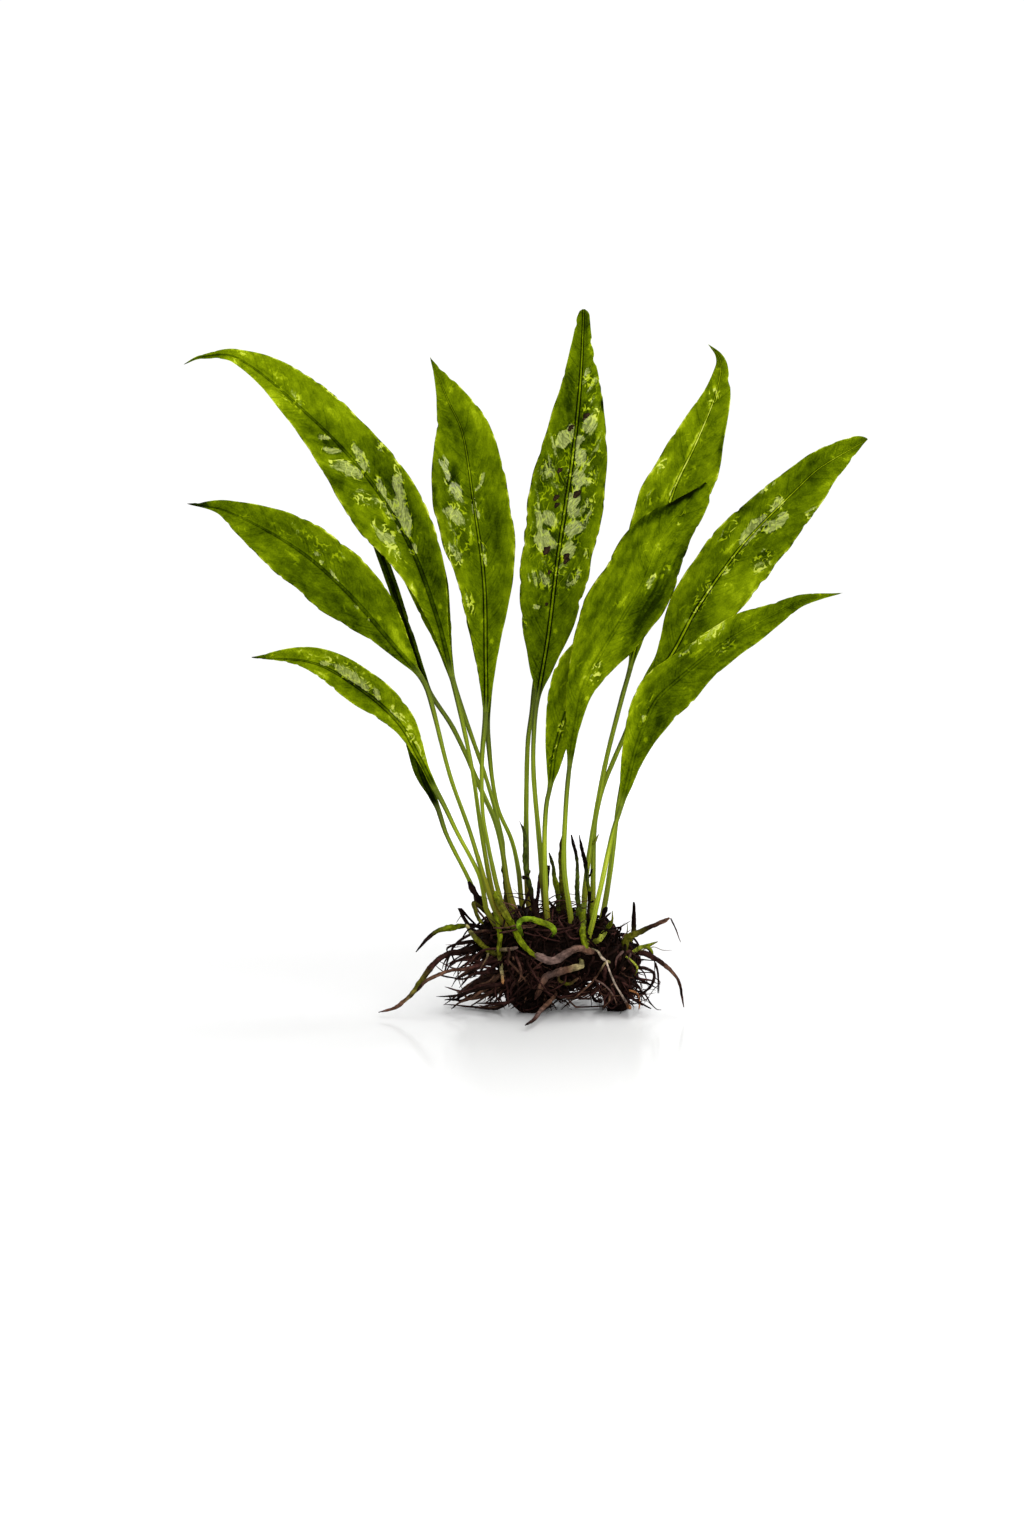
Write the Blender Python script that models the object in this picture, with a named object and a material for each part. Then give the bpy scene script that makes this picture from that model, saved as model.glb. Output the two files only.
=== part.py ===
"""Java fern on its root ball, as closed solids.

Lengths in the tables are millimetres. A place is written as it is seen from the front, as
(across, up, depth): across from the middle of the root ball, up from the floor, and depth behind the
middle of the plant. The function seen() turns it into a place in the scene.
"""

import math
import random
from collections import namedtuple

import bmesh
import bpy
from mathutils import Matrix, Vector, noise
from mathutils.bvhtree import BVHTree

MM = 0.001

# The view that the places are written for
VIEW_DISTANCE = 1500 * MM
VIEW_TILT = math.radians(6)
VIEW_CENTRE_ACROSS = -10.6 * MM
VIEW_CENTRE_UP = 68 * MM
VIEW_CENTRE_Z = VIEW_CENTRE_UP / math.cos(VIEW_TILT)
TOWARDS_VIEWER = Vector((0, -1, 0))

# Clearance between neighbours
JOINT_GAP = 0.7 * MM
SURFACE_GAP = 0.35 * MM

# Leaf blades
BLADE_ROWS = 13
BLADE_COLUMNS = (-1.0, -0.5, 0.0, 0.5, 1.0)
BLADE_THICKNESS = 0.45 * MM
MARGIN_THICKNESS = 0.30 * MM
MIDRIB_THICKNESS_AT_STALK = 1.7 * MM
MIDRIB_THICKNESS_AT_TIP = 0.5 * MM
BLADE_HALF_WIDTH_AT_STALK = 0.95 * MM
BLADE_HALF_WIDTH_AT_TIP = 0.25 * MM
FOLD_CURVE = 1.4

# Stalks
STALK_SIDES = 6
STALK_ROWS = 7
STALK_RADIUS_AT_ROOT = 1.15 * MM
STALK_RADIUS_AT_BLADE = 0.85 * MM

# The root ball
BALL_VOXEL = 0.9 * MM
BALL_TRIANGLES = 2300
BALL_LUMP_HEIGHTS = (1.9 * MM, 0.7 * MM)
BALL_LUMP_SIZES = (6.5 * MM, 2.8 * MM)
BALL_SEED = 11
BALL_MIDDLE = Vector((2, 1, 14)) * MM
LAYING_STEP = 0.2 * MM
LAYING_STEPS = 80

Frond = namedtuple("Frond", "name stalk blade left right lean fold")

# left and right are the half widths seen at each tenth of the blade, from the stalk to the tip.
# lean is the slope across the blade at the stalk and at the tip: right side towards the viewer if positive.
# fold is the slope of both halves away from the midrib: margins towards the viewer if positive.
FRONDS = (
    Frond(
        "frond_01",
        stalk=((-15, 29, -1), (-19, 49, 0.5), (-22, 69, -1), (-27.5, 94, -4)),
        blade=((-27.5, 94, -4), (-31.5, 110, -7), (-39.5, 131, -11), (-52, 150.5, -15),
               (-70, 169, -19), (-88, 183, -23), (-98, 183, -25), (-102.5, 181, -26)),
        left=(2.1, 4.2, 7.4, 10.4, 9.8, 7.4, 4.9, 2.8, 1.4),
        right=(2.0, 5.3, 7.9, 9.4, 9.5, 9.1, 8.6, 6.2, 1.8),
        lean=(0.1, -0.25),
        fold=0.16,
    ),
    Frond(
        "frond_02",
        stalk=((-15.5, 28.5, -9), (-22.5, 50.5, -12), (-28, 66, -14), (-34, 89, -16), (-36.5, 94, -16.5)),
        blade=((-36.5, 94, -16.5), (-43, 101.5, -19), (-56.5, 117, -23), (-71, 129.5, -27),
               (-90.5, 140, -33), (-101.5, 142, -36)),
        left=(2.1, 3.9, 6.7, 8.7, 8.8, 8.7, 7.4, 4.7, 1.3),
        right=(3.6, 6.8, 8.6, 9.5, 9.2, 8.7, 7.2, 5.0, 2.4),
        lean=(-0.1, 0.3),
        fold=0.12,
    ),
    Frond(
        "frond_03",
        stalk=((-17.5, 29, -6), (-23.5, 41, -10), (-29, 57.5, -14), (-32, 62, -16)),
        blade=((-32, 62, -16), (-36.5, 71, -19), (-42, 80.5, -22), (-52, 89.5, -27),
               (-66, 97.5, -34), (-83.5, 99, -43)),
        left=(0.9, 1.5, 2.6, 3.8, 4.7, 4.3, 3.3, 1.7, 0.6),
        right=(1.2, 2.8, 4.3, 5.3, 5.9, 5.7, 5.1, 4.1, 2.5),
        lean=(0.3, 0.5),
        fold=0.2,
    ),
    Frond(
        "frond_04",
        stalk=((-10.5, 28.5, 3), (-14.5, 50.5, 7), (-19.5, 62.5, 9), (-27, 79, 9.5), (-34, 90, 9)),
        blade=((-34, 90, 9), (-39, 104, 10), (-44, 119.5, 12), (-50, 136, 15), (-57.5, 153.5, 19)),
        left=(1.2, 1.5, 1.6, 1.7, 1.8, 1.8, 1.7, 1.4, 0.9),
        right=(1.2, 1.4, 1.4, 1.4, 1.4, 1.4, 1.3, 1.1, 0.7),
        lean=(2.2, 3.2),
        fold=0.0,
    ),
    Frond(
        "frond_05",
        stalk=((-19, 29.5, 2), (-23.5, 38.5, 3), (-29, 49.5, 5), (-31.5, 57, 7)),
        blade=((-31.5, 57, 7), (-35.5, 66, 10), (-38.5, 75.5, 14), (-43.5, 83.5, 19), (-51, 90, 26)),
        left=(1.2, 1.9, 2.3, 2.3, 2.3, 2.4, 2.2, 1.6, 0.9),
        right=(1.2, 1.9, 2.4, 2.6, 2.6, 2.5, 2.2, 1.6, 0.9),
        lean=(0.9, 1.2),
        fold=0.1,
    ),
    Frond(
        "frond_06",
        stalk=((-13.5, 28.5, -6), (-17, 41, -5.5), (-19.5, 55.5, -4.5), (-19, 70.5, -3), (-18, 83.5, -1.5)),
        blade=((-18, 83.5, -1.5), (-18, 98.5, 0), (-18.5, 121, 0), (-21.5, 143.5, -1), (-24.5, 162, 0),
               (-28.5, 171, 1), (-33.5, 183, 3)),
        left=(1.9, 3.8, 6.1, 8.1, 10.5, 11.3, 10.0, 6.9, 2.4),
        right=(2.4, 4.4, 6.8, 9.0, 10.1, 9.9, 9.1, 7.2, 4.2),
        lean=(-0.2, 0.2),
        fold=0.12,
    ),
    Frond(
        "frond_07",
        stalk=((-1.5, 30, -4), (-3, 48, -4), (-5, 67.5, -4), (-4.5, 81, -4), (-3.5, 87, -4)),
        blade=((-3.5, 87, -4), (-0.5, 104.5, -5), (2, 125, -6), (4.5, 142, -7), (6.5, 156, -7.5),
               (8.5, 175.5, -8), (9.5, 196.5, -7)),
        left=(4.6, 8.1, 9.8, 10.2, 10.5, 9.8, 7.8, 5.4, 3.3),
        right=(3.3, 6.6, 8.7, 9.6, 10.4, 10.0, 8.4, 6.0, 3.1),
        lean=(0.1, -0.1),
        fold=-0.1,
    ),
    Frond(
        "frond_08",
        stalk=((9, 22.5, 1), (10, 36, 3), (12, 50, 5), (15.5, 69, 7), (20, 87, 9), (22.5, 96, 9.5)),
        blade=((22.5, 96, 9.5), (27.5, 118, 11), (34.5, 145, 13), (41, 159, 14), (46, 172, 15),
               (47.5, 179.5, 16), (45, 186, 17)),
        left=(2.6, 5.0, 7.4, 9.2, 9.0, 7.6, 6.6, 4.4, 2.2),
        right=(2.0, 3.2, 4.5, 6.0, 7.6, 9.0, 7.7, 5.1, 2.5),
        lean=(-0.2, 0.35),
        fold=0.15,
    ),
    Frond(
        "frond_09",
        stalk=((6, 24, -9), (4, 40, -10), (4.5, 57.5, -12), (5.5, 68.5, -14)),
        blade=((5.5, 68.5, -14), (7, 79, -16), (10, 92, -18), (20.5, 110.5, -21), (26, 120, -23),
               (31.5, 133, -25), (37, 140, -26.5), (43.5, 148, -28)),
        left=(2.2, 3.8, 6.2, 9.3, 11.3, 11.0, 10.3, 7.4, 3.3),
        right=(1.2, 2.4, 4.5, 7.0, 8.6, 9.2, 8.4, 7.8, 5.8),
        lean=(-0.15, -0.15),
        fold=-0.32,
    ),
    Frond(
        "frond_10",
        stalk=((-1, 29.5, -10), (-1.5, 46.5, -9), (-1, 57.5, -8), (0, 62.5, -7)),
        blade=((0, 62.5, -7), (1.5, 73.5, -6), (6, 87.5, -5), (11, 99.5, -4), (17.5, 111.5, -3),
               (25, 126, -2)),
        left=(1.8, 3.6, 5.6, 7.1, 7.2, 5.4, 4.0, 2.8, 1.4),
        right=(2.4, 3.6, 4.4, 5.0, 5.4, 5.0, 4.0, 2.6, 1.2),
        lean=(-0.2, -0.2),
        fold=0.15,
    ),
    Frond(
        "frond_11",
        stalk=((11.5, 22.5, 6), (12.5, 51.5, 9), (14.5, 61.5, 10), (18, 70.5, 10.5), (22.5, 81, 10),
               (24.5, 88.5, 9.5)),
        blade=((24.5, 88.5, 9.5), (33.5, 99, 8), (41, 112.5, 6), (50, 125.5, 4), (56.5, 133.5, 2),
               (69, 146, -1), (75.5, 152, -3), (89, 160, -6)),
        left=(3.0, 5.7, 8.0, 8.4, 8.6, 7.7, 6.7, 5.4, 3.6),
        right=(3.4, 6.4, 9.2, 10.8, 10.9, 10.5, 9.0, 7.1, 4.0),
        lean=(-0.15, -0.1),
        fold=0.17,
    ),
    Frond(
        "frond_12",
        stalk=((10, 18, -12), (14, 33.5, -14), (17.5, 49.5, -16), (20, 57.5, -17)),
        blade=((20, 57.5, -17), (24.5, 74.5, -19), (29.5, 86.5, -21), (35, 92, -23), (48.5, 103, -29),
               (65.5, 112.5, -34), (71, 115, -36), (82, 117, -40)),
        left=(2.6, 4.3, 5.8, 7.0, 5.6, 5.2, 4.7, 2.8, 1.4),
        right=(2.1, 3.8, 5.8, 6.8, 6.2, 5.4, 4.7, 2.8, 1.2),
        lean=(0.1, 0.1),
        fold=0.15,
    ),
    Frond(
        "frond_13",
        stalk=((-9, 29.5, 8), (-13, 53, 12), (-17.5, 64, 14), (-23, 80, 16), (-27, 92, 18)),
        blade=((-27, 92, 18), (-31, 108, 22), (-37, 127.5, 27), (-47.5, 146, 32), (-61.5, 164, 38)),
        left=(1.8, 3.6, 5.2, 6.4, 7.0, 6.8, 5.6, 3.8, 1.8),
        right=(1.8, 3.6, 5.2, 6.4, 7.0, 6.8, 5.6, 3.8, 1.8),
        lean=(0.1, 0.3),
        fold=0.12,
    ),
    Frond(
        "frond_14",
        stalk=((-8, 29, 14), (-11, 47.5, 17), (-14.5, 55.5, 18.5), (-16, 64, 20), (-17, 73, 21),
               (-17.5, 80, 22)),
        blade=((-17.5, 80, 22), (-18, 101, 25), (-19, 120.5, 29), (-21.5, 146, 35), (-26.5, 167.5, 42)),
        left=(1.6, 3.0, 4.6, 6.2, 7.6, 7.8, 6.8, 4.8, 2.2),
        right=(1.6, 3.2, 5.0, 6.6, 7.8, 7.8, 6.6, 4.6, 2.2),
        lean=(0.1, 0.1),
        fold=0.12,
    ),
    Frond(
        "frond_15",
        stalk=((-6, 30, 6), (-6.5, 48, 9), (-6, 65, 13), (-6, 81, 16), (-5.5, 90, 18)),
        blade=((-5.5, 90, 18), (-1.5, 104, 21), (1, 126, 26), (3.5, 149, 33), (6.5, 172, 41)),
        left=(1.6, 3.6, 5.4, 6.8, 7.6, 7.2, 5.8, 3.8, 1.8),
        right=(1.6, 3.4, 5.2, 6.8, 7.6, 7.4, 6.0, 4.0, 1.8),
        lean=(-0.1, -0.1),
        fold=0.12,
    ),
    Frond(
        "frond_16",
        stalk=((14, 24, 3), (17, 40, 6), (19.5, 59.5, 11), (23, 74.5, 15)),
        blade=((23, 74.5, 15), (31, 90, 20), (39, 104, 26), (47, 115, 33), (55, 125, 41)),
        left=(1.6, 3.2, 4.6, 5.8, 6.4, 6.2, 5.2, 3.6, 1.8),
        right=(1.6, 3.2, 4.4, 5.4, 6.0, 5.8, 5.0, 3.4, 1.8),
        lean=(-0.1, -0.2),
        fold=0.12,
    ),
)

Strand = namedtuple("Strand", "name route radii material")

# Rhizomes and roots that stand clear of the ball: radii run evenly along the route.
STRANDS = (
    Strand("rhizome_green", ((-17, 27.5, -12), (-12.5, 27, -16), (-10, 23, -20), (-8, 18.5, -23),
                             (-5.5, 16.5, -24)), (1.2, 1.3, 1.4, 1.5, 1.3), "rhizome_green"),
    Strand("rhizome_creeping", ((-3.5, 15.5, -24), (0.5, 14, -24.5), (4.5, 16, -23.5), (8, 17.5, -22),
                                (12, 16.5, -20)), (1.1, 1.6, 1.5, 1.3, 1.1), "rhizome_brown"),
    Strand("sprout_arched", ((-8.5, 24, -17), (-7.5, 26.5, -17.5), (-5, 26.5, -17.5), (-2, 24.5, -17.5),
                             (2, 22, -17.5)), (0.7, 0.9, 0.9, 1.0, 1.5), "sprout"),
    Strand("sprout_right", ((14, 20, -15), (16, 23, -16), (17.5, 25.5, -16.5), (17.5, 28, -17)),
           (1.0, 0.9, 0.8, 0.5), "sprout"),
    Strand("root_green", ((-14, 24, -20), (-14, 19, -23), (-13, 12.5, -25), (-12.5, 7.5, -25)),
           (0.9, 0.9, 0.8, 0.6), "rhizome_green"),
    Strand("root_olive", ((-23.5, 24, -13), (-21, 20.5, -17), (-18.5, 18, -19), (-16, 16, -20)),
           (0.6, 0.9, 1.0, 0.8), "rhizome_green"),
    Strand("root_front", ((9, 12.5, -24), (3, 11, -27), (-1, 9.5, -28.5), (-3, 5.5, -31),
                          (-5.5, 2, -34)), (1.2, 1.4, 1.3, 1.1, 0.7), "rhizome_brown"),
    Strand("root_left_long", ((-24, 16.5, -9), (-29.5, 16, -11), (-35, 12.5, -13), (-39.5, 7, -14),
                              (-44, 3, -15), (-48, 1.2, -15)), (1.0, 1.0, 0.95, 0.9, 0.9, 0.6), "root"),
    Strand("root_left_low", ((-24, 11, -14), (-31, 9, -15), (-35.5, 6, -16), (-38.5, 3, -17)),
           (0.9, 0.9, 0.8, 0.6), "root"),
    Strand("root_left_high", ((-22, 24, -3), (-26.5, 23.5, -6), (-31, 22.5, -9), (-34, 20.5, -11),
                              (-37.5, 16.5, -14)), (0.6, 0.7, 1.1, 0.8, 0.5), "root"),
    Strand("twig_left", ((-21.5, 22.5, 4), (-23.5, 25, 4), (-25.5, 29, 4)), (0.6, 0.5, 0.4), "root"),
    Strand("root_right_long", ((24, 16.5, -8), (28, 15.5, -10), (33, 12, -12), (36, 8.5, -13),
                               (37, 4, -13), (37.5, 1, -13)), (0.8, 0.8, 0.7, 0.6, 0.5, 0.4), "root"),
    Strand("stick_slanting", ((21.5, 20.5, -9), (26, 22.5, -11), (30.5, 24.5, -12.5), (33.5, 26, -13)),
           (1.1, 1.0, 0.8, 0.6), "root"),
    Strand("stick_upright", ((23.5, 21.5, 4), (23.5, 26, 4), (23.5, 30.5, 4)), (0.7, 0.7, 0.5), "root"),
)

# Old broken stalks that stand between the live ones
STUBS = (
    Strand("stub_01", ((-12, 30, 10), (-12.5, 36, 10), (-13.5, 41, 10)), (1.1, 1.0, 0.6), "stub"),
    Strand("stub_02", ((-5, 29.5, -11), (-7, 38, -10), (-7.3, 50, -9.5), (-8.5, 53, -9.5)),
           (1.2, 1.0, 0.9, 0.4), "stub"),
    Strand("stub_03", ((-3.8, 29.5, -1), (-3.2, 34, -1), (-3, 39, 0.5)), (0.9, 0.7, 0.5), "stub"),
    Strand("stub_04", ((2.6, 29, 0), (2.2, 35, 1.5), (0.2, 44, 3.5)), (1.2, 1.0, 0.7), "stub"),
    Strand("stub_05", ((4, 29, -3.5), (3.2, 39, -4), (3.6, 49, -5)), (1.0, 1.0, 0.8), "stub"),
    Strand("stub_06", ((8, 27, -5), (7.3, 42, -6), (5.9, 49.5, -6)), (1.1, 0.9, 0.5), "stub"),
    Strand("stub_07", ((11.5, 28, -3), (9.8, 41, -3), (8.1, 49.5, -4)), (0.9, 0.7, 0.4), "stub"),
    Strand("stub_08", ((15.5, 24, -6), (16.5, 27, -7), (16, 29.5, -8)), (0.8, 0.8, 0.7), "stub"),
)
STRAND_SIDES = 5

# Solid lumps of the root ball: centre and radii
BALL_LUMPS = (
    ((2, 1, 17.0), (21, 17, 9.5)),
    ((-4, -1, 8.0), (14, 14, 9.5)),
    ((21, -1, 9.0), (8.5, 12, 10.5)),
    ((-8, 3, 20.0), (13, 11, 6.5)),
    ((15, 0, 15.0), (11, 12, 6.5)),
)

# Short roots fused to the ball
FRINGE_ROOTS = 66
FRINGE_REACH = (29.5, 22.5)
FRINGE_CENTRE = (0.5, 0.0)
FRINGE_START = 0.5
FRINGE_RADIUS = (1.2, 0.8)
ARCH_LEFT = 3.0
ARCH_RIGHT = 14.0

Surface = namedtuple("Surface", "colour roughness")
SURFACES = {
    "leaf": Surface((0.16, 0.26, 0.01, 1), 0.3),
    "stalk": Surface((0.26, 0.33, 0.02, 1), 0.4),
    "rhizome_green": Surface((0.22, 0.3, 0.03, 1), 0.5),
    "rhizome_brown": Surface((0.13, 0.07, 0.05, 1), 0.55),
    "sprout": Surface((0.2, 0.4, 0.02, 1), 0.4),
    "root": Surface((0.05, 0.028, 0.018, 1), 0.6),
    "stub": Surface((0.06, 0.06, 0.02, 1), 0.6),
    "root_ball": Surface((0.035, 0.018, 0.013, 1), 0.7),
}


def clear_scene():
    """Remove every object of the opening scene."""
    for item in list(bpy.data.objects):
        bpy.data.objects.remove(item, do_unlink=True)


def make_materials():
    """Make one Principled material for each surface."""
    made = {}
    for name, surface in SURFACES.items():
        material = bpy.data.materials.new(name)
        material.use_nodes = True
        shader = material.node_tree.nodes["Principled BSDF"]
        shader.inputs["Base Color"].default_value = surface.colour
        shader.inputs["Roughness"].default_value = surface.roughness
        shader.inputs["Metallic"].default_value = 0
        made[name] = material
    return made


def seen(place):
    """Turn a place as seen from the front, in millimetres, into a place in the scene."""
    across = place[0] * MM - VIEW_CENTRE_ACROSS
    up = place[1] * MM - VIEW_CENTRE_UP
    depth = place[2] * MM
    sine = math.sin(VIEW_TILT)
    cosine = math.cos(VIEW_TILT)
    height = up * (VIEW_DISTANCE + depth * cosine) - depth * sine * VIEW_DISTANCE
    height /= VIEW_DISTANCE * cosine + up * sine
    distance = VIEW_DISTANCE + depth * cosine - height * sine
    x = VIEW_CENTRE_ACROSS + across * distance / VIEW_DISTANCE
    return Vector((x, depth, VIEW_CENTRE_Z + height))


def smooth_route(points, count):
    """Read count even steps from a smooth curve through the points."""
    reach = [0.0]
    for first, second in zip(points, points[1:]):
        reach.append(reach[-1] + (second - first).length)
    slopes = []
    last = len(points) - 1
    for index in range(len(points)):
        before = max(index - 1, 0)
        after = min(index + 1, last)
        slopes.append((points[after] - points[before]) / (reach[after] - reach[before]))
    route = []
    span = 0
    for step in range(count):
        want = reach[-1] * step / (count - 1)
        while span < last - 1 and want > reach[span + 1]:
            span += 1
        length = reach[span + 1] - reach[span]
        t = (want - reach[span]) / length
        square = t * t
        cube = square * t
        route.append(
            points[span] * (2 * cube - 3 * square + 1)
            + slopes[span] * length * (cube - 2 * square + t)
            + points[span + 1] * (3 * square - 2 * cube)
            + slopes[span + 1] * length * (cube - square)
        )
    return route


def directions(route):
    """Return the direction of a route at each of its points."""
    last = len(route) - 1
    result = []
    for index in range(len(route)):
        step = route[min(index + 1, last)] - route[max(index - 1, 0)]
        result.append(step.normalized())
    return result


def between(values, share):
    """Read a value a share of the way along an evenly spaced list."""
    place = share * (len(values) - 1)
    index = min(int(place), len(values) - 2)
    part = place - index
    return values[index] * (1 - part) + values[index + 1] * part


def add_object(name, mesh_builder, material):
    """Make a named object from a bmesh, with faces out and smooth shading."""
    bmesh.ops.recalc_face_normals(mesh_builder, faces=mesh_builder.faces)
    mesh = bpy.data.meshes.new(name)
    mesh_builder.to_mesh(mesh)
    mesh_builder.free()
    mesh.materials.append(material)
    mesh.shade_smooth()
    item = bpy.data.objects.new(name, mesh)
    bpy.context.scene.collection.objects.link(item)
    return item


def add_tube(mesh_builder, route, radii, sides):
    """Add a closed tube along a route."""
    ways = directions(route)
    side = ways[0].orthogonal().normalized()
    rings = []
    for index, centre in enumerate(route):
        way = ways[index]
        side = (side - way * side.dot(way)).normalized()
        other = way.cross(side)
        radius = between(radii, index / (len(route) - 1))
        ring = []
        for turn in range(sides):
            angle = 2 * math.pi * turn / sides
            offset = side * math.cos(angle) + other * math.sin(angle)
            ring.append(mesh_builder.verts.new(centre + offset * radius))
        rings.append(ring)
    for lower, upper in zip(rings, rings[1:]):
        for turn in range(sides):
            after = (turn + 1) % sides
            mesh_builder.faces.new((lower[turn], lower[after], upper[after], upper[turn]))
    mesh_builder.faces.new(list(reversed(rings[0])))
    mesh_builder.faces.new(rings[-1])


def blade_profile(frond, share):
    """Return the half widths on the left and right, a share of the way along the blade."""
    ends = (BLADE_HALF_WIDTH_AT_STALK / MM, BLADE_HALF_WIDTH_AT_TIP / MM)
    left = between((ends[0],) + frond.left + (ends[1],), share)
    right = between((ends[0],) + frond.right + (ends[1],), share)
    return left * MM, right * MM


def blade_offset(frond, share, column):
    """Return how far a point of the blade lies to the right of the midrib, and in front of it."""
    left, right = blade_profile(frond, share)
    lean = frond.lean[0] + (frond.lean[1] - frond.lean[0]) * share
    width = right if column > 0 else left
    across = column * width
    forward = width * (lean * column + frond.fold * abs(column) ** FOLD_CURVE)
    return across, forward


def midrib_thickness(share):
    """Return the thickness of the blade at its midrib."""
    return MIDRIB_THICKNESS_AT_TIP + (MIDRIB_THICKNESS_AT_STALK - MIDRIB_THICKNESS_AT_TIP) * (1 - share) ** 3


def add_blade(frond, material):
    """Make one leaf blade: a thin closed solid, thicker along its midrib."""
    points = [seen(place) for place in frond.blade]
    start = points[0] + (points[1] - points[0]).normalized() * JOINT_GAP
    route = smooth_route([start] + points[1:], BLADE_ROWS + 1)
    ways = directions(route)
    mesh_builder = bmesh.new()
    rows = []
    for index, centre in enumerate(route):
        share = index / BLADE_ROWS
        side = ways[index].cross(TOWARDS_VIEWER).normalized()
        front = side.cross(ways[index]).normalized()
        row = []
        for column in BLADE_COLUMNS:
            across, forward = blade_offset(frond, share, column)
            middle = centre + side * across + front * forward
            thickness = BLADE_THICKNESS
            if column == 0:
                thickness = midrib_thickness(share)
            elif abs(column) == 1:
                thickness = MARGIN_THICKNESS
            slope = between((frond.lean[0], frond.lean[1]), share)
            normal = (front - side * slope).normalized()
            row.append((mesh_builder.verts.new(middle + normal * thickness / 2),
                        mesh_builder.verts.new(middle - normal * thickness / 2)))
        rows.append(row)
    for lower, upper in zip(rows, rows[1:]):
        for face in (0, 1):
            for column in range(len(BLADE_COLUMNS) - 1):
                corners = (lower[column][face], lower[column + 1][face],
                           upper[column + 1][face], upper[column][face])
                mesh_builder.faces.new(corners)
        for edge in (0, -1):
            mesh_builder.faces.new((lower[edge][0], lower[edge][1], upper[edge][1], upper[edge][0]))
    for row in (rows[0], rows[-1]):
        for column in range(len(BLADE_COLUMNS) - 1):
            mesh_builder.faces.new((row[column][0], row[column][1], row[column + 1][1], row[column + 1][0]))
    return add_object(frond.name + "_blade", mesh_builder, material)


def ball_surface(ball):
    """Return the finished surface of the root ball, for measuring to it."""
    return BVHTree.FromObject(ball, bpy.context.evaluated_depsgraph_get())


def height_over(surface, point):
    """Return the distance from a surface to a point, negative inside."""
    distance = surface.find_nearest(point)[3]
    way = (point - BALL_MIDDLE).normalized()
    wall, normal, _, _ = surface.ray_cast(point, way)
    if wall is not None and normal.dot(way) > 0:
        return -distance
    return distance


def trimmed(surface, route, radius):
    """Drop the start of a route that lies inside the root ball or too near to it."""
    first = 0
    for index, point in enumerate(route):
        if height_over(surface, point) < radius + SURFACE_GAP:
            first = index + 1
    return route[first:]


def laid(surface, route, radius):
    """Push the points of a route out from the middle of the root ball, so that the strand lies on it."""
    result = []
    for point in route:
        outwards = (point - BALL_MIDDLE).normalized()
        for _ in range(LAYING_STEPS):
            if height_over(surface, point) > radius + SURFACE_GAP:
                break
            point = point + outwards * LAYING_STEP
        result.append(point)
    return result


def add_stalk(frond, surface, material):
    """Make the stalk of one frond, from the root ball to the blade."""
    fine_steps = 160
    fine = smooth_route([seen(place) for place in frond.stalk], fine_steps)
    kept = trimmed(surface, fine, STALK_RADIUS_AT_ROOT)
    kept = smooth_route(kept, STALK_ROWS)
    mesh_builder = bmesh.new()
    add_tube(mesh_builder, kept, (STALK_RADIUS_AT_ROOT, STALK_RADIUS_AT_BLADE), STALK_SIDES)
    return add_object(frond.name + "_stalk", mesh_builder, material)


def add_strand(strand, surface, material):
    """Make one root, rhizome or stub that lies on the ball or stands on it."""
    fine_steps = 60
    radii = [radius * MM for radius in strand.radii]
    fine = smooth_route([seen(place) for place in strand.route], fine_steps)
    if strand.name.startswith("stub"):
        fine = trimmed(surface, fine, radii[0])
    else:
        fine = laid(surface, fine, max(radii))
    rows = 3 * len(strand.route) - 3
    mesh_builder = bmesh.new()
    add_tube(mesh_builder, smooth_route(fine, rows), radii, STRAND_SIDES)
    return add_object(strand.name, mesh_builder, material)


def add_lump(mesh_builder, centre, radii):
    """Add one rounded lump of the root ball."""
    place = Matrix.Translation(Vector(centre) * MM) @ Matrix.Diagonal((*[r * MM for r in radii], 1))
    bmesh.ops.create_icosphere(mesh_builder, subdivisions=4, radius=1, matrix=place)


def fringe_route(index, dice):
    """Return one short root that runs out of the ball and down to the floor."""
    angle = 2 * math.pi * (index + dice.uniform(-0.3, 0.3)) / FRINGE_ROOTS
    reach = dice.uniform(0.74, 1.0)
    out = Vector((math.cos(angle) * FRINGE_REACH[0], math.sin(angle) * FRINGE_REACH[1], 0))
    middle = Vector((FRINGE_CENTRE[0], FRINGE_CENTRE[1], 0))
    high = dice.uniform(7, 22)
    low = dice.uniform(0.05, 0.6) * high
    start = middle + out * FRINGE_START + Vector((0, 0, high))
    bend = middle + out * 0.92 * reach + Vector((dice.uniform(-2, 2), dice.uniform(-2, 2), high * 0.8))
    end = middle + out * reach + Vector((dice.uniform(-3, 3), dice.uniform(-3, 3), low))
    return [start * MM, bend * MM, end * MM]


def add_root_ball(material):
    """Make the root ball: lumps and short roots joined into one skin and cut flat underneath."""
    mesh_builder = bmesh.new()
    for centre, radii in BALL_LUMPS:
        add_lump(mesh_builder, centre, radii)
    dice = random.Random(BALL_SEED)
    for index in range(FRINGE_ROOTS):
        route = fringe_route(index, dice)
        low_end = route[-1]
        if ARCH_LEFT * MM < low_end.x < ARCH_RIGHT * MM:
            continue
        radii = [radius * MM for radius in FRINGE_RADIUS]
        add_tube(mesh_builder, smooth_route(route, 7), radii, 8)
    ball = add_object("root_ball", mesh_builder, material)
    skin = ball.modifiers.new("one skin", "REMESH")
    skin.mode = "VOXEL"
    skin.voxel_size = BALL_VOXEL
    roughen(ball)
    thin = ball.modifiers.new("fewer faces", "DECIMATE")
    thin.ratio = BALL_TRIANGLES / count_triangles(ball)
    settle(ball)
    cut_flat(ball)
    return ball


def settle(item):
    """Apply the modifiers of an object."""
    graph = bpy.context.evaluated_depsgraph_get()
    mesh = bpy.data.meshes.new_from_object(item.evaluated_get(graph))
    item.modifiers.clear()
    item.data = mesh


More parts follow.
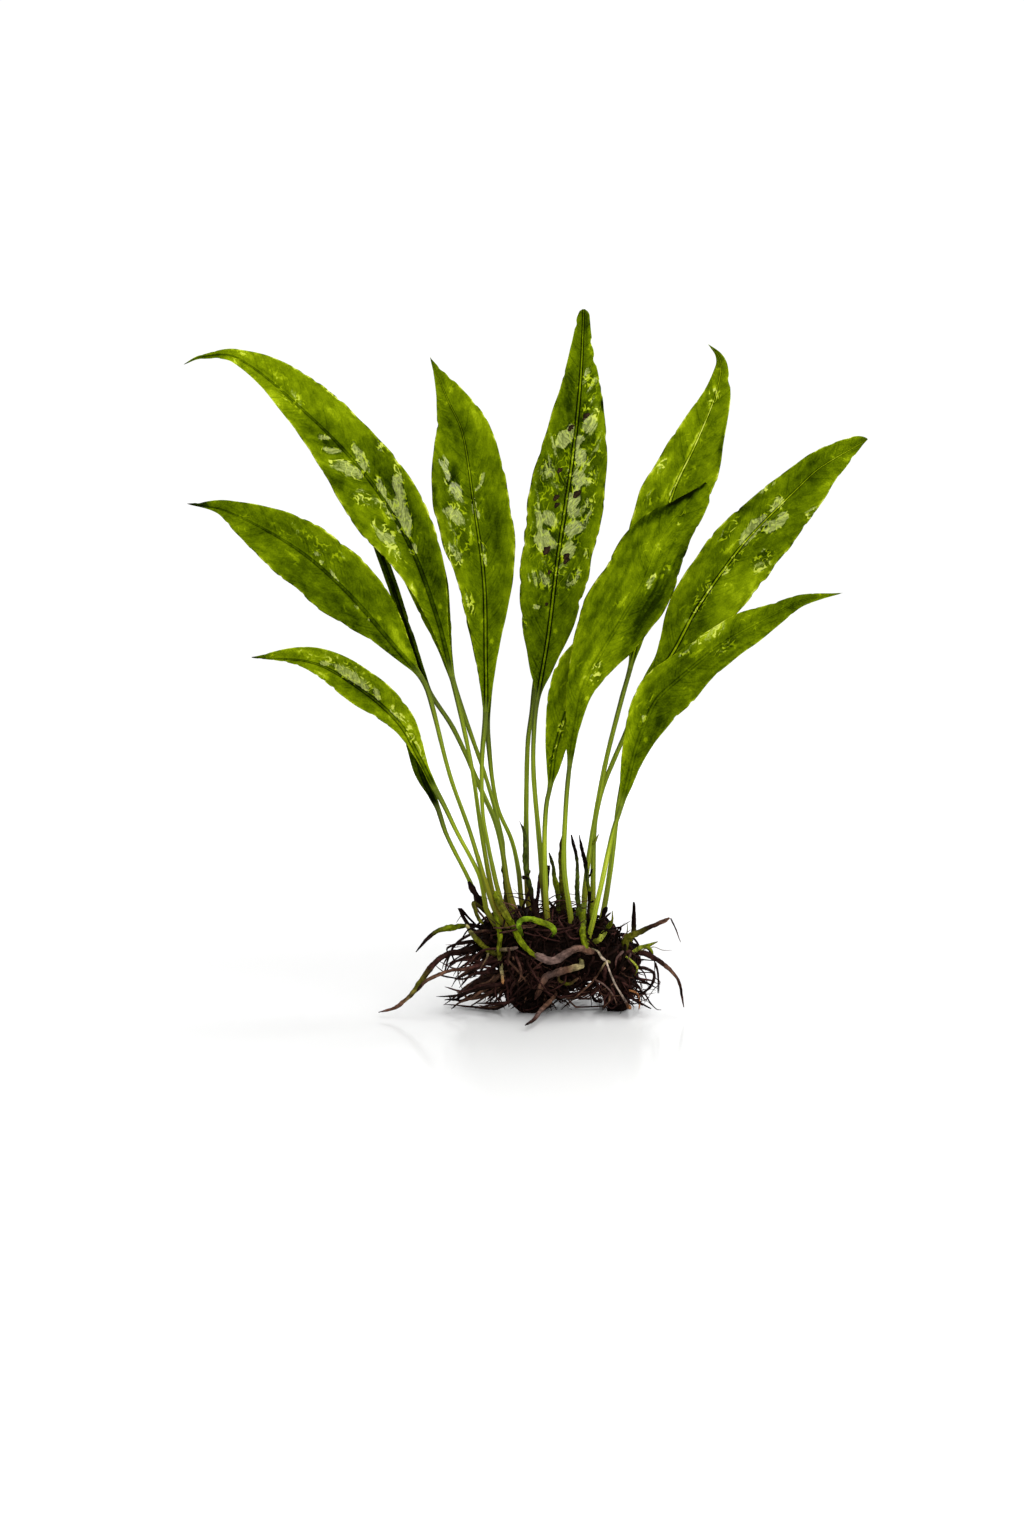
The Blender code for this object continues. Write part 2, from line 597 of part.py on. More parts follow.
def roughen(ball):
    """Press small lumps into the skin of the root ball."""
    settle(ball)
    for height, size in zip(BALL_LUMP_HEIGHTS, BALL_LUMP_SIZES):
        pushes = [vertex.normal * noise.noise(vertex.co / size) * height for vertex in ball.data.vertices]
        for vertex, push in zip(ball.data.vertices, pushes):
            vertex.co += push
        ball.data.update()


def count_triangles(item):
    """Return the number of triangles of an object's mesh."""
    return sum(len(face.vertices) - 2 for face in item.data.polygons)


def keep_largest_piece(mesh_builder):
    """Remove crumbs and enclosed pockets: everything but the largest connected piece."""
    waiting = set(mesh_builder.verts)
    pieces = []
    while waiting:
        edge_of_search = [waiting.pop()]
        piece = list(edge_of_search)
        while edge_of_search:
            vertex = edge_of_search.pop()
            for edge in vertex.link_edges:
                other = edge.other_vert(vertex)
                if other in waiting:
                    waiting.remove(other)
                    edge_of_search.append(other)
                    piece.append(other)
        pieces.append(piece)
    pieces.sort(key=len)
    for piece in pieces[:-1]:
        bmesh.ops.delete(mesh_builder, geom=piece, context="VERTS")


def cut_flat(ball):
    """Cut the root ball flat where it rests on the floor."""
    mesh_builder = bmesh.new()
    mesh_builder.from_mesh(ball.data)
    parts = mesh_builder.verts[:] + mesh_builder.edges[:] + mesh_builder.faces[:]
    cut = bmesh.ops.bisect_plane(mesh_builder, geom=parts, dist=0.02 * MM, plane_co=(0, 0, 0),
                                 plane_no=(0, 0, -1), clear_outer=True)
    rim = [part for part in cut["geom_cut"] if isinstance(part, bmesh.types.BMEdge)]
    bmesh.ops.edgenet_fill(mesh_builder, edges=rim)
    keep_largest_piece(mesh_builder)
    mesh_builder.to_mesh(ball.data)
    mesh_builder.free()
    ball.data.shade_smooth()
    ball.data.set_sharp_from_angle(angle=math.radians(50))


def build():
    """Build the whole plant."""
    clear_scene()
    materials = make_materials()
    ball = add_root_ball(materials["root_ball"])
    surface = ball_surface(ball)
    for frond in FRONDS:
        add_blade(frond, materials["leaf"])
        add_stalk(frond, surface, materials["stalk"])
    for strand in STRANDS + STUBS:
        add_strand(strand, surface, materials[strand.material])


build()
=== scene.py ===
import math
import random
from collections import namedtuple

import bmesh
import bpy
from mathutils import Matrix, Vector, noise
from mathutils.bvhtree import BVHTree


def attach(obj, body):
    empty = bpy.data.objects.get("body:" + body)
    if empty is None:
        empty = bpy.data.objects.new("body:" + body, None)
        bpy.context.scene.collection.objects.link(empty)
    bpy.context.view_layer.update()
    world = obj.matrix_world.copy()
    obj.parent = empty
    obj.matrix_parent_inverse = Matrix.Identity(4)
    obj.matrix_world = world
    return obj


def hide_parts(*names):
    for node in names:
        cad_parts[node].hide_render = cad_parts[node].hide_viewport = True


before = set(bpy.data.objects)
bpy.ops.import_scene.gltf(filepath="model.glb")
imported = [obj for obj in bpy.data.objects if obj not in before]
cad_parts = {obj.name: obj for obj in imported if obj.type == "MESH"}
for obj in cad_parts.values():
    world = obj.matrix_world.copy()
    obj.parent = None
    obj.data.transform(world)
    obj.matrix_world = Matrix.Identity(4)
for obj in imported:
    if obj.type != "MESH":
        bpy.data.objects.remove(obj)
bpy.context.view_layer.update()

# Lengths in the tables are millimetres. A place is written as it is seen from the front, as
# (across, up, depth): across from the middle of the root ball, up from the floor, and depth behind
# the middle of the plant.
MM = 0.001

# The view
VIEW_DISTANCE = 1500 * MM
VIEW_TILT = math.radians(6)
VIEW_CENTRE_ACROSS = -10.6 * MM
VIEW_CENTRE_UP = 68 * MM
VIEW_CENTRE_Z = VIEW_CENTRE_UP / math.cos(VIEW_TILT)
VIEW_HEIGHT = 430.08 * MM
VIEW_CLIP = (0.05, 50)
SENSOR = 36
TOWARDS_VIEWER = Vector((0, -1, 0))
DOWN = Vector((0, 0, -1))

# The room: edges of the floor left, right, front and back; how light the floor is near the plant and far
# out, a painted shade that greys the floor round the plant; how bright the surroundings are in front and
# behind; the lights with their size and power
FLOOR_EDGES = (-1.3, 1.3, -1.7, 0.75)
FLOOR_REACH = (0.08, 0.6)
FLOOR_LIGHT = (0.6, 0.95)
FLOOR_GLOSS = 0.012
SKY_REACH = (-0.1, 0.6)
SKY_LIGHT = (0.35, 1.05)
LAMPS_AIM = Vector((0, 0, 0.09))
LAMPS = (
    ("key", (0.6, -0.95, 1.0), 1.5, 1.3, 22),
    ("front", (0.1, -1.9, 0.55), 1.0, 0.7, 26),
    ("top", (0.35, 0.25, 1.2), 0.8, 0.8, 12),
)

# The photo: its size in millimetres at the plant, and the pixel under the middle of the root ball
PHOTO_SCALE = 0.28
PHOTO_MIDDLE_X = 550
PHOTO_FLOOR_Y = 1011

# Leaf blades. Along a leaf, shares run from 0 at the stalk to 1 at the tip. Across it, reach runs from 0 at
# the midrib to 1 at the margin. Seeds keep the noises of the two sides and of the leaves apart.
ROW_STEP = 0.55 * MM
STALK_ROWS_SKIPPED = 4
FINE_ROWS_FROM = 0.96
COLUMNS_PER_SIDE = 22
COLUMN_CROWDING = 1.45
SECTION_CHANGE = (-0.02, 0.07)

# Thickness, and the midrib as a ridge between two grooves
BLADE_THICKNESS = 0.42 * MM
MARGIN_THICKNESS = 0.20 * MM
THINNING = 3
MIDRIB_RISE_FRONT = 0.34 * MM
MIDRIB_RISE_BACK = 0.62 * MM
MIDRIB_HALF_WIDTH = 0.62 * MM
MIDRIB_WIDTHS = (1.15, 0.75)
MIDRIB_FADE = 0.8
GROOVE_DEPTH = 0.12 * MM
GROOVE_PLACE = 2.1
GROOVE_WIDTH = 0.8
UNDERSIDE_SEEN = "frond_07"

# Outline: half widths in millimetres, and tips as left, right and where the rounding starts
BLADE_HALF_WIDTH_AT_STALK = 0.95
SHARP_TIP = (0.12, 0.12, 0.982)
BLUNT_TIPS = {
    "frond_07": (1.6, 1.6, 0.982),
    "frond_09": (0.2, 3.9, 0.95),
    "frond_11": (2.4, 0.2, 0.965),
}
TIP_CLOSING = 0.98
OUTLINE_WOBBLE = 0.045
OUTLINE_WOBBLE_SIZE = 6.5 * MM
OUTLINE_WOBBLE_FROM = (0.02, 0.2)
OUTLINE_WOBBLE_SEED = (3.1, 7.7)
NOTCH_DEPTH = 0.9 * MM
NOTCH_SIZE = 2.4 * MM
NOTCH_LEVEL = 0.2
NOTCH_FROM = (0.05, 0.3)
NOTCH_SEED = (5.7, 3.1)

# Folds, ripples of the margin, waves and side veins
FOLD_CURVE = 1.4
SWELL_CURVE = 0.6
RIPPLE_HEIGHT = 0.75 * MM
RIPPLE_LENGTHS = {1: 12.5, -1: 17.0}
RIPPLE_SEED = (0.37, 0.2)
RIPPLE_STRENGTHS = (0.7, 0.5)
RIPPLE_STRENGTH_SIZE = 20 * MM
RIPPLE_CURVE = 2.6
FULL_RIPPLE_WIDTH = 8 * MM
WAVE_HEIGHT = 0.30 * MM
WAVE_SIZE = 7.5 * MM
WAVE_SEED = 3.3
WAVE_FROM_MIDRIB = 3
VEIN_SLOPE = 0.7
VEIN_BEND = 0.13
VEIN_SPACING = 4.6 * MM
VEIN_DEPTH = 0.11 * MM
VEIN_HALF_WIDTH = 0.55 * MM
VEIN_FROM = (0.1, 0.3)
VEIN_UNTIL = (0.8, 1.0)
VEIN_DRIFT = 0.35
VEIN_DRIFT_SIZES = (5 * MM, 9 * MM)
VEIN_DRIFT_SEED = 1.9

# Stalks: radii in millimetres from the foot to the blade, and how light they are along the way
STALK_RADII = (0.85, 0.74, 0.68, 0.68)
SLIM_STALK_RADII = (0.84, 0.64, 0.58, 0.76)
SLIM_STALKS = ("frond_01", "frond_02", "frond_03", "frond_05", "frond_06", "frond_13", "frond_14")
STALK_WOBBLE = 0.10
STALK_WOBBLE_SIZE = 5 * MM
STALK_WOBBLE_SEED = 5.1
STALK_FLATNESS = 0.92
STALK_TONE = 0.67
STALK_TOP = (0.55, 1.0)
STALK_TOP_DARKER = 0.30
STALK_BOTTOM = (0.0, 0.18)
STALK_BOTTOM_DARKER = 0.25
STALK_BROWN_BELOW = (0.1, 0.42)
MEAN_TONE = 0.5
LEAF_TONE_ON_STALK = 0.4

# Half width of the drawn midrib in millimetres, at even steps from the stalk to the tip
RIB_WIDTHS = (0.38, 0.38, 0.3, 0.2, 0.1)
WIDE_RIBS = {"frond_07": (0.38, 0.38, 0.38, 0.36, 0.2)}
LINE_DARKNESS = -0.38

Frond = namedtuple(
    "Frond", "name stalk blade left right lean fold tone midrib lines streaks", defaults=(-0.16, 1.0, 0.12))

# left and right are the half widths seen at each tenth of the blade, from the stalk to the tip.
# lean is the slope across the blade at the stalk and at the tip: right side towards the viewer if positive.
# fold is the slope of both halves away from the midrib: margins towards the viewer if positive.
# tone is how light the leaf is, from 0 for black green to 1 for pale yellow. midrib is how much lighter
# the midrib is between its two dark lines, lines how dark these are, and streaks how strong the stripes
# along the leaf.
FRONDS = (
    Frond(
        "frond_01",
        stalk=((-15, 29, -1), (-19, 49, 0.5), (-22, 69, -1), (-27.5, 94, -4)),
        blade=((-27.5, 94, -4), (-31.5, 110, -7), (-39.5, 131, -11), (-52, 150.5, -15),
               (-70, 169, -19), (-88, 183, -23), (-98, 183, -25), (-102.5, 181, -26)),
        left=(2.1, 4.2, 7.4, 10.4, 9.8, 7.4, 4.9, 2.8, 1.4),
        right=(2.0, 5.3, 7.9, 9.4, 9.5, 9.1, 8.6, 6.2, 1.8),
        lean=(0.1, -0.25), fold=0.16, tone=0.57, lines=0.7,
    ),
    Frond(
        "frond_02",
        stalk=((-15.5, 28.5, -9), (-22.5, 50.5, -12), (-28, 66, -14), (-34, 89, -16), (-36.5, 94, -16.5)),
        blade=((-36.5, 94, -16.5), (-43, 101.5, -19), (-56.5, 117, -23), (-71, 129.5, -27),
               (-90.5, 140, -33), (-101.5, 142, -36)),
        left=(2.1, 3.9, 6.7, 8.7, 8.8, 8.7, 7.4, 4.7, 1.3),
        right=(3.6, 6.8, 8.6, 9.5, 9.2, 8.7, 7.2, 5.0, 2.4),
        lean=(-0.1, 0.3), fold=0.12, tone=0.5, lines=0.6,
    ),
    Frond(
        "frond_03",
        stalk=((-17.6, 28, -6), (-18.4, 32, -7), (-19.6, 37.6, -9), (-22, 42.6, -10.5), (-26, 50, -13),
               (-29.6, 57.5, -15), (-32, 62, -16)),
        blade=((-32, 62, -16), (-36.5, 71, -19), (-42, 80.5, -22), (-52, 89.5, -27),
               (-66, 97.5, -34), (-83.5, 99, -43)),
        left=(0.9, 1.5, 2.6, 3.8, 4.7, 4.3, 3.3, 1.7, 0.6),
        right=(1.2, 2.8, 4.3, 5.3, 5.9, 5.7, 5.1, 4.1, 2.5),
        lean=(0.3, 0.5), fold=0.2, tone=0.62, streaks=0.2,
    ),
    Frond(
        "frond_04",
        stalk=((-10.5, 28.5, 3), (-14.5, 50.5, 7), (-19.5, 62.5, 9), (-27, 79, 9.5), (-34, 90, 9)),
        blade=((-34, 90, 9), (-39, 104, 10), (-44, 119.5, 12), (-50, 136, 15), (-57.5, 153.5, 19)),
        left=(1.2, 1.5, 1.6, 1.7, 1.8, 1.8, 1.7, 1.4, 0.9),
        right=(1.2, 1.4, 1.4, 1.4, 1.4, 1.4, 1.3, 1.1, 0.7),
        lean=(2.2, 3.2), fold=0.0, tone=0.27,
    ),
    Frond(
        "frond_05",
        stalk=((-19, 29.5, 2), (-23.5, 38.5, 3), (-29, 49.5, 5), (-31.5, 57, 7)),
        blade=((-31.5, 57, 7), (-35.5, 66, 10), (-38.5, 75.5, 14), (-43.5, 83.5, 19), (-51, 90, 26)),
        left=(1.2, 1.9, 2.3, 2.3, 2.3, 2.4, 2.2, 1.6, 0.9),
        right=(1.2, 1.9, 2.4, 2.6, 2.6, 2.5, 2.2, 1.6, 0.9),
        lean=(0.9, 1.2), fold=0.1, tone=0.34,
    ),
    Frond(
        "frond_06",
        stalk=((-12.9, 28.5, -6), (-14.6, 34.1, -5.7), (-16.1, 40.5, -5.5), (-17.5, 47.5, -5),
               (-18.8, 55.5, -4.5), (-19, 70.5, -3), (-18, 83.5, -1.5)),
        blade=((-18, 83.5, -1.5), (-18, 98.5, 0), (-18.5, 121, 0), (-21.5, 143.5, -1), (-24.5, 162, 0),
               (-28.5, 171, 1), (-33.5, 183, 3)),
        left=(1.9, 3.8, 6.1, 8.1, 10.5, 11.3, 10.0, 6.9, 2.4),
        right=(2.4, 4.4, 6.8, 9.0, 10.1, 9.9, 9.1, 7.2, 4.2),
        lean=(-0.2, 0.2), fold=0.12, tone=0.52, midrib=0.1,
    ),
    Frond(
        "frond_07",
        stalk=((-1.5, 30, -4), (-3, 48, -4), (-4.6, 67.5, -4), (-4.3, 81, -4), (-3.5, 87, -4)),
        blade=((-3.5, 87, -4), (-0.5, 104.5, -5), (2, 125, -6), (4.5, 142, -7), (6.5, 156, -7.5),
               (8.5, 175.5, -8), (9.5, 196.5, -7)),
        left=(4.6, 8.1, 9.8, 10.2, 10.5, 9.8, 7.8, 5.4, 3.3),
        right=(3.3, 6.6, 8.7, 9.6, 10.4, 10.0, 8.4, 6.0, 3.1),
        lean=(0.1, -0.1), fold=-0.1, tone=0.46, midrib=0.14, lines=1.1,
    ),
    Frond(
        "frond_08",
        stalk=((9, 22.5, 1), (10, 36, 3), (12, 50, 5), (15.5, 69, 7), (20, 87, 9), (22.5, 96, 9.5)),
        blade=((22.5, 96, 9.5), (27.5, 118, 11), (34.5, 145, 13), (41, 159, 14), (46.3, 172, 15),
               (48, 180.3, 16), (47.2, 183.6, 16.5), (44.4, 186.6, 17)),
        left=(2.6, 5.0, 7.4, 9.2, 9.0, 7.6, 6.6, 4.4, 2.2),
        right=(2.0, 3.2, 4.5, 6.0, 8.1, 10.0, 7.4, 5.1, 2.5),
        lean=(-0.2, 0.35), fold=0.15, tone=0.57, midrib=0.26, lines=0.8,
    ),
    Frond(
        "frond_09",
        stalk=((6, 24, -9), (4, 40, -10), (4.5, 57.5, -12), (5.5, 68.5, -14)),
        blade=((5.5, 68.5, -14), (7, 79, -16), (10, 92, -18), (20.5, 110.5, -21), (26, 120, -23),
               (31.5, 133, -25), (37, 140, -26.5), (43.5, 148, -28)),
        left=(2.2, 3.8, 6.2, 9.3, 11.3, 11.0, 10.3, 7.4, 3.3),
        right=(1.2, 2.4, 4.5, 7.0, 8.6, 9.2, 8.4, 7.8, 5.8),
        lean=(-0.15, -0.15), fold=-0.32, tone=0.53, midrib=-0.02, lines=0.25, streaks=0.3,
    ),
    Frond(
        "frond_10",
        stalk=((-1, 29.5, -10), (-1.5, 46.5, -9), (-1, 57.5, -8), (0, 62.5, -7)),
        blade=((0, 62.5, -7), (1.5, 73.5, -6), (6, 87.5, -5), (11, 99.5, -4), (17.5, 111.5, -3),
               (25, 126, -2)),
        left=(1.8, 3.6, 5.6, 7.1, 7.2, 5.4, 4.0, 2.8, 1.4),
        right=(2.4, 3.6, 4.4, 5.0, 5.4, 5.0, 4.0, 2.6, 1.2),
        lean=(-0.2, -0.2), fold=0.15, tone=0.56, midrib=0.05, lines=0.5, streaks=0.3,
    ),
    Frond(
        "frond_11",
        stalk=((11.5, 22.5, 6), (12.5, 51.5, 9), (14.5, 61.5, 10), (18, 70.5, 10.5), (22.5, 81, 10),
               (24.5, 88.5, 9.5)),
        blade=((24.5, 88.5, 9.5), (33.5, 99, 8), (41, 112.5, 6), (50, 125.5, 4), (56.5, 133.5, 2),
               (69, 146, -1), (75.5, 152, -3), (89, 160, -6)),
        left=(3.0, 5.7, 8.0, 8.4, 8.6, 7.7, 6.7, 5.4, 4.3),
        right=(3.4, 6.4, 9.2, 10.8, 10.9, 10.5, 9.0, 7.1, 4.0),
        lean=(-0.15, -0.1), fold=0.17, tone=0.51, midrib=0.3, lines=0.8,
    ),
    Frond(
        "frond_12",
        stalk=((10, 18, -12), (14, 33.5, -14), (17.5, 49.5, -16), (20, 57.5, -17)),
        blade=((20, 57.5, -17), (24.5, 74.5, -19), (29.5, 86.5, -21), (35, 92, -23), (48.5, 103, -29),
               (65.5, 112.5, -34), (71, 115, -36), (82, 117, -40)),
        left=(2.6, 4.3, 5.8, 7.0, 5.6, 5.2, 4.7, 2.8, 1.4),
        right=(2.1, 4.0, 6.6, 7.5, 6.1, 5.4, 4.7, 2.8, 1.2),
        lean=(0.1, 0.1), fold=0.15, tone=0.52, midrib=0.0, lines=0.3, streaks=0.25,
    ),
    Frond(
        "frond_13",
        stalk=((-10, 29, 8), (-12.7, 40, 10), (-13.4, 48, 11.5), (-17.5, 64, 14), (-23, 80, 16),
               (-27, 92, 18)),
        blade=((-27, 92, 18), (-31, 108, 22), (-37, 127.5, 27), (-47.5, 146, 32), (-61.5, 164, 38)),
        left=(1.8, 3.6, 5.2, 6.4, 7.0, 6.8, 5.6, 3.8, 1.8),
        right=(1.8, 3.6, 5.2, 6.4, 7.0, 6.8, 5.6, 3.8, 1.8),
        lean=(0.1, 0.3), fold=0.12, tone=0.42,
    ),
    Frond(
        "frond_14",
        stalk=((-7.7, 29, 14), (-8.8, 39.3, 15.5), (-10.7, 47.8, 17), (-14.3, 56, 18.5), (-16, 64, 20),
               (-17, 73, 21), (-17.5, 80, 22)),
        blade=((-17.5, 80, 22), (-18, 101, 25), (-19, 120.5, 29), (-21.5, 146, 35), (-26.5, 167.5, 42)),
        left=(1.6, 3.0, 4.6, 6.2, 7.6, 7.8, 6.8, 4.8, 2.2),
        right=(1.6, 3.2, 5.0, 6.6, 7.8, 7.8, 6.6, 4.6, 2.2),
        lean=(0.1, 0.1), fold=0.12, tone=0.42,
    ),
    Frond(
        "frond_15",
        stalk=((-6, 30, 6), (-6.6, 48, 9), (-6.5, 65, 13), (-6.1, 76, 15), (-5, 84, 16.7), (-4.4, 90, 18)),
        blade=((-4.4, 90, 18), (-1.5, 104, 21), (1, 126, 26), (3.5, 149, 33), (6.5, 172, 41)),
        left=(1.6, 3.6, 5.4, 6.8, 7.6, 7.2, 5.8, 3.8, 1.8),
        right=(1.6, 3.4, 5.2, 6.8, 7.6, 7.4, 6.0, 4.0, 1.8),
        lean=(-0.1, -0.1), fold=0.12, tone=0.42,
    ),
    Frond(
        "frond_16",
        stalk=((14, 24, 3), (17, 40, 6), (19.5, 59.5, 11), (23, 74.5, 15)),
        blade=((23, 74.5, 15), (31, 90, 20), (39, 104, 26), (47, 115, 33), (55, 125, 41)),
        left=(1.6, 3.2, 4.6, 5.8, 6.4, 6.2, 5.2, 3.6, 1.8),
        right=(1.6, 3.2, 4.4, 5.4, 6.0, 5.8, 5.0, 3.4, 1.8),
        lean=(-0.1, -0.2), fold=0.12, tone=0.42,
    ),
)

# Marks seen on the leaves: x and y are pixels of the photo, long and wide are half sizes in pixels,
# turn is the direction of the long side in degrees, clockwise from the right. Wet marks are films of
# water that give the leaf a glossy coat, and they also paint a pale sheen and glints into its colour:
# a painted reflection of the lights. SHADES make a place lighter or darker: mostly the leaf's own
# mottling and the dark feet of some stalks, and in places painted shade and painted highlights.
Mark = namedtuple("Mark", "x y long wide turn amount")
MARK_WANDER = 3.0
MARK_WANDER_SIZE = 8.0
SHADE_SOFTNESS = 0.75
WET_AND_SHEEN_SOFTNESS = 0.4
WET_AND_SHEEN = {
    "frond_01": (
        (347, 468, 18, 6.5, 26, 1.0), (360, 458, 17, 4.5, 60, 0.95), (381, 488, 13, 3.5, 66, 0.95),
        (402, 500, 36, 6, 78, 1.0), (398, 518, 20, 7, 60, 0.9), (384, 532, 15, 8, 45, 0.7),
        (368, 500, 19, 8, 20, 0.42), (324, 438, 6, 2, 15, 1.0), (332, 451, 10, 3, 15, 0.9),
        (413, 549, 7, 3, 60, 0.8), (380, 446, 10, 4, 60, 0.4), (395, 552, 20, 7, 55, 0.35),
        (290, 395, 26, 8, 42, 0.25), (331, 392, 9, 2.5, 45, 0.8),
    ),
    "frond_02": (
        (316, 554, 3, 2, 40, 1.0), (322, 563, 3, 2, 40, 1.0), (335, 576, 7, 1.5, 45, 0.9),
        (356, 606, 3, 1.5, 45, 0.9), (368, 621, 3, 1.5, 45, 0.9), (320, 545, 34, 9, 33, 0.25),
    ),
    "frond_03": (
        (350, 676, 19, 5, 38, 1.0), (326, 664, 7, 2.5, 15, 0.9), (377, 696, 7, 3, 50, 0.9),
        (396, 714, 9, 4, 60, 0.6), (352, 672, 34, 9, 33, 0.3), (412, 737, 34, 4, 61, 0.35),
    ),
    "frond_06": (
        (445, 470, 13, 4, 80, 1.0), (458, 491, 9, 4, 60, 0.9), (454, 515, 12, 5, 50, 0.9),
        (475, 508, 11, 3, 75, 0.9), (484, 554, 13, 3, 80, 0.9), (481, 481, 10, 2.5, 120, 0.8),
        (453, 555, 14, 6, 60, 0.55), (460, 520, 40, 14, 78, 0.3), (470, 603, 16, 5, 70, 0.4),
    ),
    "frond_07": (
        (589, 424, 9, 7, 100, 1.0), (562, 440, 8, 5, 90, 1.0), (570, 433, 8, 3.5, 110, 1.0),
        (581, 457, 9, 6, 100, 1.0), (580, 479, 9, 7, 110, 0.95), (575, 497, 9, 5, 95, 1.0),
        (579, 441, 7, 4, 95, 0.9), (592, 408, 10, 9, 90, 0.45), (595, 470, 44, 7, 95, 0.26),
        (545, 470, 12, 5, 110, 0.45), (556, 447, 12, 2.5, 80, 0.5), (590, 381, 16, 8, 80, 0.35),
        (550, 519, 9, 6, 60, 1.0), (546, 541, 11, 9, 60, 1.0), (541, 522, 9, 3, 80, 0.7),
        (573, 507, 9, 5, 95, 1.0), (572, 528, 9, 6, 130, 1.0), (569, 550, 8, 6, 120, 1.0),
        (585, 518, 16, 4, 115, 0.5), (574, 534, 10, 2, 140, 0.5), (587, 554, 6, 3, 90, 0.5),
        (574, 578, 12, 5, 125, 0.55), (540, 580, 12, 8, 20, 0.45), (538, 606, 5, 2, 10, 0.9),
        (525, 622, 9, 3, 80, 0.5), (562, 510, 98, 27, 97, 0.27), (534, 524, 42, 5, 97, 0.14),
    ),
    "frond_08": (
        (714, 396, 12, 8, 100, 0.3), (662, 466, 9, 4, 112, 0.5), (673, 492, 10, 2, 115, 0.6),
        (690, 440, 40, 10, 112, 0.12), (650, 500, 14, 5, 115, 0.3),
    ),
    "frond_09": (
        (651, 582, 10, 3, 112, 0.95), (666, 572, 12, 3, 118, 0.3), (681, 518, 9, 3, 118, 0.35),
        (596, 672, 14, 6, 115, 0.4), (675, 540, 14, 3, 120, 0.2),
    ),
    "frond_10": (
        (559, 735, 40, 3, 108, 0.35),
    ),
    "frond_11": (
        (753, 530, 20, 6, -50, 1.0), (776, 504, 9, 6, -50, 0.85), (774, 525, 13, 6, -35, 1.0),
        (783, 518, 8, 4, -60, 0.9), (763, 561, 14, 9, -45, 0.45), (766, 486, 10, 5, -40, 0.5),
        (813, 513, 9, 5, -60, 0.5), (733, 562, 17, 3, -50, 0.7), (730, 530, 18, 5, -50, 0.35),
        (700, 600, 30, 8, -62, 0.3),
    ),
    "frond_12": (
        (645, 712, 22, 3, 108, 0.35), (711, 632, 19, 6, -38, 0.55), (688, 649, 12, 2, -45, 0.85),
        (725, 645, 20, 6, -38, 0.3),
    ),
}
SHADES = {
    "frond_01": (
        (425, 556, 85, 14, 70, -0.19), (381, 469, 28, 9, 62, -0.18), (332, 445, 14, 5, 15, -0.2),
        (333, 480, 14, 6, 45, -0.22), (357, 523, 12, 4, 50, -0.2), (414, 590, 9, 3, 70, 0.4),
        (280, 385, 40, 14, 42, 0.08), (388, 545, 36, 9, 52, 0.1),
    ),
    "frond_02": (
        (197, 503, 9, 4, 0, -0.25), (320, 541, 30, 4, 33, 0.16), (318, 600, 48, 10, 35, -0.16),
        (256, 555, 20, 5, 45, 0.1), (401, 645, 23, 4.5, 60, 0.3), (386, 648, 20, 3, 50, -0.15),
    ),
    # frond_03: a painted highlight along the pale streak at the foot of the blade, under its wet mark
    "frond_03": (
        (259, 656, 9, 4, 0, -0.25), (316, 654, 24, 5, 8, 0.12), (362, 690, 20, 6, 38, -0.2),
        (410, 735, 42, 7, 61, 0.2),
    ),
    "frond_06": (
        (455, 475, 9, 6, 80, -0.28), (495, 530, 30, 10, 90, -0.1), (433, 497, 14, 4, 80, -0.3),
        (470, 600, 26, 6, 70, 0.04), (492, 630, 50, 9, 92, -0.05), (470, 400, 40, 16, 70, 0.06),
    ),
    "frond_07": (
        (571, 378, 24, 6, 100, -0.14), (604, 405, 7, 2.5, 90, -0.5), (586, 322, 8, 5, 90, -0.2),
        (590, 438, 7, 5, 90, -0.2), (540, 655, 45, 15, 97, -0.03), (566, 452, 8, 6, 90, -0.1),
        (543, 905, 26, 6, 92, -0.35),
    ),
    # frond_08: a pale painted glint along the midrib, and painted highlights under its wet patches
    "frond_08": (
        (718, 357, 13, 6, 75, -0.2), (714, 396, 16, 10, 100, 0.14), (660, 468, 16, 6, 118, 0.16),
        (722, 448, 18, 3, 100, -0.25), (690, 452, 52, 1.6, 116, 0.3), (684, 424, 10, 6, 130, 0.1),
    ),
    # frond_09: painted shade over its right half, which turns away, and in a dark band along its upper left
    # margin where it curls over frond_08; a painted highlight under its wet patch
    "frond_09": (
        (664, 538, 34, 6, 125, 0.16), (620, 608, 46, 8, 118, 0.06), (592, 668, 26, 7, 110, 0.2),
        (648, 612, 40, 13, 122, -0.24), (694, 545, 40, 10, 116, -0.36), (592, 612, 30, 7, 112, -0.1),
        (655, 515, 36, 5, 149, -0.32), (651, 582, 12, 4, 112, 0.2), (687, 493, 20, 3.2, 149, -0.6),
        (640, 527, 24, 6, 130, -0.02), (612, 655, 40, 6, 115, 0.14),
    ),
    "frond_11": (
        (735, 588, 30, 12, -52, 0.2), (735, 540, 30, 5, -52, 0.1), (745, 508, 14, 7, -50, -0.15),
        (780, 545, 18, 5, -40, -0.12), (855, 443, 14, 5, 10, -0.1), (690, 640, 30, 8, -68, -0.1),
    ),
    "frond_12": (
        (711, 632, 21, 6, -38, 0.28), (670, 690, 40, 12, -60, -0.08), (720, 618, 36, 3, -30, -0.12),
        (607, 855, 70, 12, 100, 0.16), (632, 720, 40, 5, 105, 0.2), (655, 740, 30, 8, 120, -0.18),
    ),
    "frond_13": (
        (507, 888, 22, 4, 100, -0.3),
    ),
    "frond_14": (
        (518, 890, 18, 4, 95, -0.2),
    ),
    "frond_15": (
        (526, 880, 40, 8, 90, -0.4),
    ),
}

